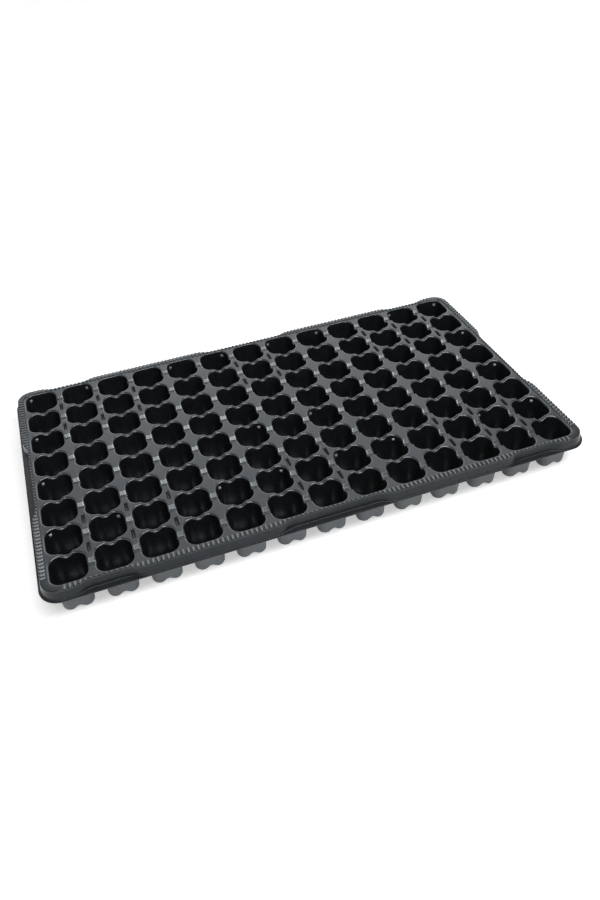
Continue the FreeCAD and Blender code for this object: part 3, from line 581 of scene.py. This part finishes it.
def star_pad(column_edge, row_edge):
    """Outline of the pad between four cups."""
    front_left, front_right = (column_edge, row_edge), (column_edge + 1, row_edge)
    back_left, back_right = (column_edge, row_edge + 1), (column_edge + 1, row_edge + 1)
    return np.concatenate([
        mouth_run(back_right, 2, BACK_END, SIDE_END),
        mouth_run(back_left, 3, SIDE_END, BACK_END),
        mouth_run(front_left, 0, BACK_END, SIDE_END),
        mouth_run(front_right, 1, SIDE_END, BACK_END),
    ])


lip_low, lip_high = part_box("rim_lip_front")
half_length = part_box("rim_lip_right")[1][0]
half_width = -lip_low[1]


def rim_side_pad(column_edge, side):
    """Outline of the half pad between two cups and the front (-1) or back (1) rim."""
    rim_y = side * (half_width - RIM_FOOT)
    row = 1 if side < 0 else ROWS
    left_cup, right_cup = (column_edge, row), (column_edge + 1, row)
    rim_line = [(column_x[column_edge - 1], rim_y, DECK), (column_x[column_edge], rim_y, DECK)]
    if side < 0:
        return np.concatenate([
            np.array(rim_line),
            mouth_run(right_cup, 2, QUARTER_STEPS, SIDE_END),
            mouth_run(left_cup, 3, SIDE_END, QUARTER_STEPS),
        ])
    return np.concatenate([
        np.array(rim_line[::-1]),
        mouth_run(left_cup, 0, QUARTER_STEPS, SIDE_END),
        mouth_run(right_cup, 1, SIDE_END, QUARTER_STEPS),
    ])


def end_comb(side):
    """Outline of the strip along the left (-1) or right (1) rim, with its half pads between cups."""
    column = 1 if side < 0 else COLUMNS
    middle_x = column_x[column - 1]
    corner = LIP_CORNER - RIM_FOOT
    hub_x = side * (half_length - LIP_CORNER)
    hub_y = half_width - LIP_CORNER
    turn = math.pi if side < 0 else 0.0
    outline = [(middle_x, -side * (half_width - RIM_FOOT), DECK)]
    for start, end_y in ((turn - math.pi / 2, -side * hub_y), (turn, side * hub_y)):
        for step in range(FOOT_CORNER_STEPS + 1):
            angle = start + math.pi / 2 * step / FOOT_CORNER_STEPS
            place = (hub_x + corner * math.cos(angle), end_y + corner * math.sin(angle), DECK)
            outline.append(place)
    outline.append((middle_x, side * (half_width - RIM_FOOT), DECK))
    parts = [np.array(outline)]
    rows = range(1, ROWS + 1) if side < 0 else range(ROWS, 0, -1)
    inward, onward = (2, 1) if side < 0 else (0, 3)
    for row in rows:
        first = QUARTER_STEPS if row == rows[0] else BACK_END
        last = QUARTER_STEPS if row == rows[-1] else BACK_END
        parts.append(mouth_run((column, row), inward, first, 0))
        parts.append(mouth_run((column, row), onward, 1, last))
    return np.concatenate(parts)


web_finish = formed_plastic("flat_web", SHEET_BLACK, roughness=0.3, grain=0.45)
for column_edge in range(COLUMNS + 1):
    form = new_form()
    if column_edge in (0, COLUMNS):
        add_pad(form, end_comb(-1 if column_edge == 0 else 1))
    else:
        add_pad(form, rim_side_pad(column_edge, -1))
        for row_edge in range(1, ROWS):
            slot = trough_slots.get((column_edge, row_edge))
            add_pad(form, star_pad(column_edge, row_edge), slot)
        add_pad(form, rim_side_pad(column_edge, 1))
    name = f"{column_edge + 1:02d}"
    make_piece(form, f"web_strip_{name}", [f"web_pads_{name}"], web_finish)


# ---------------------------------------------------------------- saddles
# Where two cups stand side by side, the web between them dips in a saddle. It lets water run from cup to
# cup and stiffens the sheet. The long saddles are broad bridges, the cross saddles thin ridges.

SADDLE_LINES = 4  # strips across a saddle


def add_saddle(form, near, far):
    """A bridge between two mouth lines, both given in the order that turns left about the web."""
    shares = np.linspace(0.0, 1.0, SADDLE_LINES + 1)
    upper = np.array([near * (1 - share) + far * share for share in shares])
    add_shell(form, upper, upper - np.array([0.0, 0.0, SHEET]), False)


def whole_side(cup, first_quarter, second_quarter, middle, end):
    """A cup's mouth line along one saddle, from end to end through its middle station."""
    step = 1 if middle > end else -1
    first = mouth_run(cup, first_quarter, end, middle)
    second = mouth_run(cup, second_quarter, middle - step, end)
    return np.concatenate([first, second])


saddle_finish = formed_plastic("saddle_bend", SHEET_BLACK, roughness=0.3, grain=0.3)
form = new_form()
for column in range(1, COLUMNS):
    for row in range(1, ROWS + 1):
        right_line = whole_side((column + 1, row), 2, 1, 0, SIDE_END)
        left_line = whole_side((column, row), 3, 0, 0, SIDE_END)
        add_saddle(form, right_line, left_line)
make_piece(form, "long_saddle_group", ["long_saddles"], saddle_finish)

form = new_form()
for column in range(1, COLUMNS + 1):
    for row in range(1, ROWS):
        back_line = whole_side((column, row + 1), 3, 2, QUARTER_STEPS, BACK_END)
        front_line = whole_side((column, row), 0, 1, QUARTER_STEPS, BACK_END)
        add_saddle(form, back_line, front_line)
make_piece(form, "cross_saddle_group", ["cross_saddles"], saddle_finish)


# ---------------------------------------------------------------- stacking lugs
# Some cups have a small rounded wedge pressed into a back corner of the wall. The next tray's cups rest
# on them, so nested trays don't jam. They are part of the wall, and stand out most below their top.

LUG_REACH = 1.6 * MM
LUG_HEIGHT = 4.0 * MM
LUG_DROP = 3.0 * MM  # from the underside of the web to its top
LUG_TOP = DECK - SHEET - LUG_DROP
LUG_HALF_BREADTH = 1.75 * MM
LUG_BEARING = math.radians(60)  # how far round the corner it sits, from the side towards the back
LUG_ROOT = 0.3 * MM  # how deep its back sits in the wall
LUG_EDGE = 0.15 * MM  # how deep the rim of its face does
LUG_LEAST = 0.01 * MM  # where it stands out less than this, its face is sunk
LUG_SHOULDER = 0.45  # share of its half breadth over which a side rises
LUG_ACROSS = 10
LUG_DOWN = (  # its profile, as (share of the way down, share of the reach)
    (-0.02, 0.0), (0.0, 0.1), (0.1, 0.42), (0.2, 0.7), (0.3, 0.9),
    (0.4, 1.0), (0.55, 0.86), (0.8, 0.4), (1.0, 0.0),
)


def lug_surfaces(side):
    """The face and the root of a lug in the back corner of a cup, on the left (-1) or right (1)."""
    face = []
    root = []
    for down, stand in LUG_DOWN:
        height = LUG_TOP - LUG_HEIGHT * down
        radius = MOUTH_CORNER + wall_offset(height)
        face_line = []
        root_line = []
        for step in range(LUG_ACROSS + 1):
            across = 2 * step / LUG_ACROSS - 1
            bearing = LUG_BEARING + across * LUG_HALF_BREADTH / radius
            direction = np.array([side * math.cos(bearing), math.sin(bearing), 0.0])
            hub = np.array([side * STRAIGHT_X, STRAIGHT_Y, height])
            crown = float(smooth((1 - abs(across)) / LUG_SHOULDER))
            reach = LUG_REACH * stand * crown
            sunk = LUG_EDGE if reach < LUG_LEAST else 0.0
            face_line.append(hub + direction * (radius - reach + sunk))
            root_line.append(hub + direction * (radius + LUG_ROOT))
        face.append(face_line)
        root.append(root_line)
    face, root = np.array(face), np.array(root)
    if side < 0:
        face, root = face[:, ::-1], root[:, ::-1]
    return face, root


lug_places = []  # each as column, row and side of the cup
for row in range(2, ROWS + 1, 2):
    lug_places += [(1, row, -1), (COLUMNS, row, 1)]
for row in (2, ROWS):
    lug_places += [(2, row, 1), (5, row, -1), (6, row, 1), (8, row, -1), (9, row, 1), (12, row, -1)]
lug_places += [(6, 4, 1), (8, 4, -1)]
LUG_GLINT_GREY = ((0.12, 0.126, 0.132), (0.17, 0.178, 0.186))  # painted glint: pale so that the lugs shine in the cups' back corners
lug_finish = formed_plastic("pressed_lug", LUG_GLINT_GREY, roughness=0.2, grain=0.3)
form = new_form()
for column, row, side in lug_places:
    face, root = lug_surfaces(side)
    middle = np.array([column_x[column - 1], row_y[row - 1], 0.0])
    add_shell(form, face + middle, root + middle, False)
make_piece(form, "stacking_lug_group", ["stacking_lugs"], lug_finish)


# ---------------------------------------------------------------- rim
# The rim is one bent band of the sheet: a raised bead with pressed cross ribs, a skirt that hangs from it,
# and a flat lip trimmed to size. Bead and skirt step in at the finger recesses, and the lip doesn't.

RIB_PITCH = 4.4 * MM
RIB_STATIONS = 8  # stations to a rib
RIB_HEIGHT = 0.6 * MM
RIB_GROOVE = 0.65 * MM  # how far the bead sinks between its ribs
RIB_FREE_CORNER = 22.0 * MM  # length of each end of a side that has no ribs
RIB_CREST = 0.3 * MM  # half the level top of a rib, along the rim
RIB_FOOT = 1.9 * MM  # half its width at the foot
RIB_UNDER = 0.8  # share of a rib's height that shows on the underside of the sheet
BEAD_RISE = 0.9 * MM
BEAD_TOP = DECK + BEAD_RISE
BEAD_EDGE = 1.2 * MM  # radius of the bead's outer edge
EDGE_STEPS = 6
RIB_WRAP = 0.7  # share of that edge over which a rib grows to its full height
SLOPE_TOP = 8.9 * MM  # inner slope of the bead, in from the edge of the lip
SLOPE_FOOT = 9.75 * MM
BEAD_LEVELS = (0.25, 0.5, 0.75, 1.0)  # lines across the bead's top, and then down its slope
SLOPE_LEVELS = (0.17, 0.34, 0.5, 0.66, 0.83, 1.0)
SKIRT_TOP = DECK - SHEET
SKIRT_FOOT = 1.8 * MM  # foot of the skirt, in from the edge of the lip
SKIRT_DRAFT = 1.5 * MM  # how far the skirt leans in from its foot to its top
SKIRT_LEAN = math.atan2(SKIRT_DRAFT, SKIRT_TOP - lip_high[2])
SKIRT_BEND = 0.8 * MM
SKIRT_LEVELS = (0.25, 0.5, 0.75, 1.0)
# where the lip starts to bend up into the skirt, in from the lip's edge
BEND_FOOT = SKIRT_FOOT + SKIRT_BEND * math.tan(SKIRT_LEAN) - SKIRT_BEND / math.cos(SKIRT_LEAN)
LIP_GAUGE = lip_high[2] - lip_low[2]
LIP_TRIM = 0.25 * MM  # radius of the lip's trimmed edge
LIP_TRIM_MIDDLE = 0.3  # share of that radius at the middle of the rounding
LIP_LEVELS = (0.33, 0.67, 1.0)
RECESS_DEPTH = 4.2 * MM
RECESS_ROUND = 24.0 * MM
END_RECESS = 104.0 * MM  # length of the recess in each end of the tray
MIDDLE_RECESS = 96.0 * MM  # lengths of the three recesses in each long side
OUTER_RECESS = 46.0 * MM
OUTER_RECESS_PLACE = half_length - 59.0 * MM
END_RECESSES = ((0.0, END_RECESS),)  # each as its middle along the side and its length
SIDE_RECESSES = (
    (-OUTER_RECESS_PLACE, OUTER_RECESS),
    (0.0, MIDDLE_RECESS),
    (OUTER_RECESS_PLACE, OUTER_RECESS),
)
CORNER_HALF_STEPS = 12
HAIR = 0.01 * MM  # keeps the crests just inside the overall height


def recess_step(along, recesses):
    """How far the rim steps in at places along a side, through two equal bends."""
    bend = math.sqrt(RECESS_DEPTH * (4 * RECESS_ROUND - RECESS_DEPTH))
    step = np.zeros(len(along))
    for middle, length in recesses:
        inside = np.clip(length / 2 + bend / 2 - np.abs(along - middle), 0.0, bend)
        outer = RECESS_ROUND - np.sqrt(RECESS_ROUND**2 - np.minimum(inside, bend / 2) ** 2)
        rest = np.minimum(bend - inside, bend / 2)
        inner = RECESS_DEPTH - RECESS_ROUND + np.sqrt(RECESS_ROUND**2 - rest**2)
        step = np.maximum(step, np.where(inside < bend / 2, outer, inner))
    return step


def rim_stations(half_run, half_reach, facing, recesses):
    """Stations along one side from the middle of one corner to the middle of the next.

    Each has a hub, a direction outward, the recess step and the shares of a rib and of a groove.
    """
    spacing = RIB_PITCH / RIB_STATIONS
    run = half_run - LIP_CORNER
    places = np.arange(-int(run / spacing), int(run / spacing) + 1) * spacing
    along = np.concatenate([[-run], places, [run]])
    turns = math.pi / 4 * np.arange(1, CORNER_HALF_STEPS + 1) / CORNER_HALF_STEPS
    bearing = facing + np.concatenate([-turns[::-1], np.zeros(len(along)), turns])
    along = np.concatenate([np.full(len(turns), -run), along, np.full(len(turns), run)])
    forward = np.array([-math.sin(facing), math.cos(facing)])
    out = np.array([math.cos(facing), math.sin(facing)])
    hubs = along[:, None] * forward + out * (half_reach - LIP_CORNER)
    outward = np.column_stack([np.cos(bearing), np.sin(bearing)])
    from_rib = np.abs(along - np.round(along / RIB_PITCH) * RIB_PITCH)
    flank = np.clip((RIB_FOOT - from_rib) / (RIB_FOOT - RIB_CREST), 0.0, 1.0)
    ribs = (flank + smooth(flank)) / 2
    last_rib = int((half_run - RIB_FREE_CORNER) / RIB_PITCH) * RIB_PITCH
    ribbed_length = np.abs(along) < last_rib + RIB_FOOT
    grooves = (1 - ribs) * ribbed_length
    return hubs, outward, recess_step(along, recesses), ribs * ribbed_length, grooves


def lip_section(step):
    """The lip from its trimmed edge to the bend: insets and heights of its upper and under side."""
    top, bottom = lip_high[2], lip_low[2]
    middle = LIP_TRIM * LIP_TRIM_MIDDLE
    level = 0 * step  # the lip's own edge doesn't step in
    section = []
    for inset, rounding in ((0.0, LIP_TRIM), (middle, middle), (LIP_TRIM, 0.0)):
        section.append((inset + level, top - rounding, inset + level, bottom + rounding))
    for share in LIP_LEVELS:
        inset = LIP_TRIM + (BEND_FOOT + step - LIP_TRIM) * share
        section.append((inset, top, inset, bottom))
    return section


def skirt_section(step):
    """The bend at the foot of the skirt and the skirt up to the bead."""
    top = lip_high[2]
    steep = math.pi / 2 - SKIRT_LEAN
    section = []
    for number in range(BEND_STEPS + 2):
        angle = steep * number / (BEND_STEPS + 1)
        gauge = LIP_GAUGE + (SHEET - LIP_GAUGE) * number / (BEND_STEPS + 1)
        inset = BEND_FOOT + step + SKIRT_BEND * math.sin(angle)
        height = top + SKIRT_BEND * (1 - math.cos(angle))
        low_inset = inset + gauge * math.sin(angle)
        section.append((inset, height, low_inset, height - gauge * math.cos(angle)))
    foot = height
    for share in SKIRT_LEVELS:
        height = foot + (SKIRT_TOP - foot) * share
        section.append(skirt_line(step, height))
    return section


def skirt_line(step, height):
    """The outer and inner face of the skirt at a height."""
    inset = SKIRT_FOOT + step + (height - lip_high[2]) * math.tan(SKIRT_LEAN)
    across = SHEET * math.cos(SKIRT_LEAN)
    return inset, height, inset + across, height - SHEET * math.sin(SKIRT_LEAN)


def bead_section(step, ribs, grooves):
    """The bead from the top of the skirt over its ribs and down its inner slope to the web."""
    section = [skirt_line(step, SKIRT_TOP)]
    steep = math.pi / 2 - SKIRT_LEAN
    hub_height = BEAD_TOP - BEAD_EDGE
    hub = skirt_line(step, hub_height)[0] + BEAD_EDGE / math.cos(SKIRT_LEAN)
    wave = (RIB_HEIGHT - HAIR) * ribs - RIB_GROOVE * grooves
    for number in range(EDGE_STEPS + 1):
        angle = steep * (1 - number / EDGE_STEPS)
        sine, cosine = math.sin(angle), math.cos(angle)
        lift = wave * float(smooth((steep - angle) / (steep * RIB_WRAP)))
        section.append((
            hub - (BEAD_EDGE + lift) * sine,
            hub_height + (BEAD_EDGE + lift) * cosine,
            hub - (BEAD_EDGE - SHEET) * sine,
            hub_height + (BEAD_EDGE - SHEET) * cosine + RIB_UNDER * lift,
        ))

    def ribbed(inset, height):
        """Adds a line of the bead's top, lifted where a rib crosses it."""
        lift = wave * (1.0 - smooth((inset - SLOPE_TOP) / (SLOPE_FOOT - SLOPE_TOP)) ** 2)
        section.append((inset, height + lift, inset, height - SHEET + RIB_UNDER * lift))

    for share in BEAD_LEVELS:
        ribbed(hub + (SLOPE_TOP - hub) * share, BEAD_TOP)
    for share in SLOPE_LEVELS:
        inset = SLOPE_TOP + (SLOPE_FOOT - SLOPE_TOP) * share + 0 * step
        ribbed(inset, BEAD_TOP - (BEAD_TOP - DECK) * float(smooth(share)))
    section.append((RIM_FOOT + 0 * step, DECK, RIM_FOOT + 0 * step, DECK - SHEET))
    return section


def add_band(form, hubs, outward, section):
    """A length of rim: a section carried along the stations of one side."""
    upper = []
    under = []
    for inset, height, low_inset, low_height in section:
        for grid, ring, ring_height in ((upper, inset, height), (under, low_inset, low_height)):
            plan = hubs + outward * (LIP_CORNER - ring)[:, None]
            grid.append(np.column_stack([plan, ring_height + np.zeros(len(plan))]))
    add_shell(form, np.array(upper), np.array(under), False)


# Painted shade: bead and skirt are the same sheet as the web, but painted darker for the duller light that
# falls on the rim.
SHADED_BEAD_BLACK = ((0.01, 0.0115, 0.013), (0.015, 0.017, 0.019))
SHADED_SKIRT_BLACK = ((0.009, 0.0105, 0.012), (0.013, 0.015, 0.017))
BAND_MARKS = 0.2  # strength of the draw marks on the rim
CREST_HIGHLIGHT_FROM = 39.4 * MM  # height from which the ribs' crests get a painted highlight
CREST_HIGHLIGHT_TO = 39.9 * MM
CREST_HIGHLIGHT_GREY = (0.15, 0.159, 0.168, 1.0)


def set_eased(node, source, result):
    """Sets a map range node to ease from one pair of numbers to another."""
    node.interpolation_type = "SMOOTHSTEP"
    node.inputs["From Min"].default_value, node.inputs["From Max"].default_value = source
    node.inputs["To Min"].default_value, node.inputs["To Max"].default_value = result


def paint_crest_highlight(finish):
    """Pales a finish on the crests of the ribs: a painted highlight for the gloss they catch."""
    nodes, links = finish.node_tree.nodes, finish.node_tree.links
    shader = nodes["Principled BSDF"]
    place = nodes.new("ShaderNodeTexCoord")
    height = nodes.new("ShaderNodeSeparateXYZ")
    links.new(place.outputs["Object"], height.inputs["Vector"])
    share = nodes.new("ShaderNodeMapRange")
    set_eased(share, (CREST_HIGHLIGHT_FROM, CREST_HIGHLIGHT_TO), (0.0, 1.0))
    links.new(height.outputs["Z"], share.inputs["Value"])
    painted_highlight = nodes.new("ShaderNodeMix")
    painted_highlight.data_type = "RGBA"
    painted_highlight.inputs["B"].default_value = CREST_HIGHLIGHT_GREY
    links.new(shader.inputs["Base Color"].links[0].from_socket, painted_highlight.inputs["A"])
    links.new(share.outputs["Result"], painted_highlight.inputs["Factor"])
    links.new(painted_highlight.outputs["Result"], shader.inputs["Base Color"])


bead_finish = formed_plastic(
    "rim_band", SHADED_BEAD_BLACK, roughness=0.25, grain=0.5, draw_marks=BAND_MARKS, gloss_level=0.38
)
paint_crest_highlight(bead_finish)
skirt_finish = formed_plastic(
    "rim_skirt_band", SHADED_SKIRT_BLACK, roughness=0.3, grain=0.5, draw_marks=BAND_MARKS, gloss_level=0.25
)
RIM_SIDES = (
    ("front", half_length, half_width, -math.pi / 2, SIDE_RECESSES),
    ("right", half_width, half_length, 0.0, END_RECESSES),
    ("back", half_length, half_width, math.pi / 2, SIDE_RECESSES),
    ("left", half_width, half_length, math.pi, END_RECESSES),
)
for side, half_run, half_reach, facing, recesses in RIM_SIDES:
    hubs, outward, step, ribs, grooves = rim_stations(half_run, half_reach, facing, recesses)
    for part, section, finish in (
        ("lip", lip_section(step), skirt_finish),
        ("skirt", skirt_section(step), skirt_finish),
        ("bead", bead_section(step, ribs, grooves), bead_finish),
    ):
        form = new_form()
        add_band(form, hubs, outward, section)
        make_piece(form, f"{part}_{side}", [f"rim_{part}_{side}"], finish)


# ---------------------------------------------------------------- one sheet
# The pieces are regions of one moulding, so light has to run over their borders without a break. At each
# shared point the surface faces the mean way of all the faces round it, and only cut edges stay flat.

JOIN = 0.001 * MM  # points nearer than this are one point
KEY_BITS = 21  # bits of a point's key to an axis
NO_LENGTH = 1e-30  # keeps a point that only cut faces share from a division by nothing


def spread_normals():
    """Gives all moulded pieces the shading of one continuous sheet."""
    keys = []
    sums = []
    parts = []
    for mesh, cuts, sizes in moulded_pieces:
        points = np.empty(len(mesh.vertices) * 3)
        mesh.vertices.foreach_get("co", points)
        facing = np.empty(len(mesh.polygons) * 3)
        mesh.polygons.foreach_get("normal", facing)
        area = np.empty(len(mesh.polygons))
        mesh.polygons.foreach_get("area", area)
        corner = np.empty(len(mesh.loops), dtype=np.int32)
        mesh.loops.foreach_get("vertex_index", corner)
        facing = facing.reshape(-1, 3)
        face_of = np.repeat(np.arange(len(sizes)), sizes)
        weight = facing * (area * ~cuts)[:, None]
        count = len(mesh.vertices)
        total = [np.bincount(corner, weight[face_of, axis], count) for axis in range(3)]
        grid = np.round(points.reshape(-1, 3) / JOIN).astype(np.int64)
        keys.append((grid[:, 0] << 2 * KEY_BITS) + (grid[:, 1] << KEY_BITS) + grid[:, 2])
        sums.append(np.column_stack(total))
        parts.append((mesh, corner, face_of, facing, cuts))
    shared = np.unique(np.concatenate(keys), return_inverse=True)[1]
    sums = np.concatenate(sums)
    joined = np.column_stack([np.bincount(shared, sums[:, axis]) for axis in range(3)])
    joined /= np.maximum(np.linalg.norm(joined, axis=1), NO_LENGTH)[:, None]
    start = 0
    for mesh, corner, face_of, facing, cuts in parts:
        own = joined[shared[start:start + len(mesh.vertices)]]
        start += len(mesh.vertices)
        normals = own[corner]
        flat = cuts[face_of]
        normals[flat] = facing[face_of[flat]]
        mesh.normals_split_custom_set(normals)


spread_normals()


# ---------------------------------------------------------------- studio
# The tray stands on a pale floor in a white room, with a broad softbox behind it and a long one above its
# front edge. Floor and room look white to the camera, and the gloss of the plastic reflects them.

FLOOR_SIZE = 8.0
FLOOR_GREY = (0.8, 0.8, 0.8, 1.0)
WHITE = (1.0, 1.0, 1.0, 1.0)
SHADOW_REACH = (0.4, 1.6)  # distances from the tray's middle over which the floor's glow grows
FLOOR_GLOW = (0.5, 0.9)
ROOM_HEIGHT = (0.2, 0.8)  # upward parts of a direction over which the room darkens to its ceiling
ROOM_GLOW = (1.0, 0.25)
ROOM_LIGHT = 0.1  # what the room sheds on things


def seen_directly(nodes, links):
    """1 for rays from the camera, in a reflection or through glass, 0 for light that falls on things."""
    path = nodes.new("ShaderNodeLightPath")
    seen = path.outputs["Is Camera Ray"]
    for kind in ("Is Glossy Ray", "Is Transmission Ray"):
        either = nodes.new("ShaderNodeMath")
        either.operation = "MAXIMUM"
        links.new(seen, either.inputs[0])
        links.new(path.outputs[kind], either.inputs[1])
        seen = either.outputs["Value"]
    return seen


def glow_level(nodes, links):
    """The floor's own brightness, low near the tray so that its shadow shows, full far from it."""
    place = nodes.new("ShaderNodeTexCoord")
    distance = nodes.new("ShaderNodeVectorMath")
    distance.operation = "LENGTH"
    links.new(place.outputs["Object"], distance.inputs[0])
    level = nodes.new("ShaderNodeMapRange")
    set_eased(level, SHADOW_REACH, FLOOR_GLOW)
    links.new(distance.outputs["Value"], level.inputs["Value"])
    return level.outputs["Result"]


floor_paint = bpy.data.materials.new("pale_floor")
floor_paint.use_nodes = True
nodes, links = floor_paint.node_tree.nodes, floor_paint.node_tree.links
nodes["Principled BSDF"].inputs["Base Color"].default_value = FLOOR_GREY
nodes["Principled BSDF"].inputs["Roughness"].default_value = 0.9
nodes["Principled BSDF"].inputs["Specular IOR Level"].default_value = 0.0
glow = nodes.new("ShaderNodeEmission")
glow.inputs["Color"].default_value = WHITE
strength = nodes.new("ShaderNodeMath")
strength.operation = "MULTIPLY"
links.new(seen_directly(nodes, links), strength.inputs[0])
links.new(glow_level(nodes, links), strength.inputs[1])
links.new(strength.outputs["Value"], glow.inputs["Strength"])
both = nodes.new("ShaderNodeAddShader")
links.new(nodes["Principled BSDF"].outputs["BSDF"], both.inputs[0])
links.new(glow.outputs["Emission"], both.inputs[1])
links.new(both.outputs["Shader"], nodes["Material Output"].inputs["Surface"])

floor_mesh = bpy.data.meshes.new("floor")
half_floor = FLOOR_SIZE / 2
floor_corners = [(x * half_floor, y * half_floor, 0) for x, y in ((-1, -1), (1, -1), (1, 1), (-1, 1))]
floor_mesh.from_pydata(floor_corners, [], [(0, 1, 2, 3)])
floor_mesh.materials.append(floor_paint)
floor = bpy.data.objects.new("floor", floor_mesh)
floor.location.z = -0.1 * MM  # clear of the feet
bpy.context.scene.collection.objects.link(floor)

world = bpy.data.worlds.new("white_room")
bpy.context.scene.world = world
world.use_nodes = True
nodes, links = world.node_tree.nodes, world.node_tree.links
room = nodes["Background"]
room.inputs["Color"].default_value = WHITE
direction = nodes.new("ShaderNodeTexCoord")
upward = nodes.new("ShaderNodeSeparateXYZ")
links.new(direction.outputs["Generated"], upward.inputs["Vector"])
dimming = nodes.new("ShaderNodeMapRange")
set_eased(dimming, ROOM_HEIGHT, ROOM_GLOW)
links.new(upward.outputs["Z"], dimming.inputs["Value"])
level = nodes.new("ShaderNodeMapRange")
level.inputs["To Min"].default_value = ROOM_LIGHT
links.new(dimming.outputs["Result"], level.inputs["To Max"])
links.new(seen_directly(nodes, links), level.inputs["Value"])
links.new(level.outputs["Result"], room.inputs["Strength"])


def softbox(name, place, width, height, power):
    """A rectangular soft lamp aimed at the tray's middle, its size in metres and its power in watts."""
    lamp = bpy.data.lights.new(name, "AREA")
    lamp.shape = "RECTANGLE"
    lamp.size = width
    lamp.size_y = height
    lamp.energy = power
    box = bpy.data.objects.new(name, lamp)
    box.location = place
    box.rotation_euler = (-Vector(place)).to_track_quat("-Z", "Y").to_euler()
    box.visible_camera = False
    bpy.context.scene.collection.objects.link(box)


softbox("back_softbox", (0.3, 1.15, 0.95), width=1.6, height=1.2, power=6.6)
softbox("front_softbox", (0.12, -0.54, 1.0), width=1.35, height=0.38, power=14.5)

CAMERA_PLACE = Vector((-0.16936, -0.60426, 0.52321))
CAMERA_FORWARD = Vector((0.222504, 0.727388, -0.649152))
CAMERA_RIGHT = Vector((0.940077, -0.336521, -0.054858))
CAMERA_FRAME = 36.0  # millimetres along the frame's longer side
CAMERA_FOCAL = 30.395

camera_data = bpy.data.cameras.new("camera")
camera_data.sensor_width = CAMERA_FRAME
camera_data.lens = CAMERA_FOCAL
camera = bpy.data.objects.new("camera", camera_data)
camera_up = CAMERA_RIGHT.cross(CAMERA_FORWARD)
turn = Matrix((CAMERA_RIGHT, camera_up, -CAMERA_FORWARD)).transposed().to_4x4()
camera.matrix_world = Matrix.Translation(CAMERA_PLACE) @ turn
bpy.context.scene.collection.objects.link(camera)
bpy.context.scene.camera = camera
bpy.context.scene.view_settings.view_transform = "Standard"
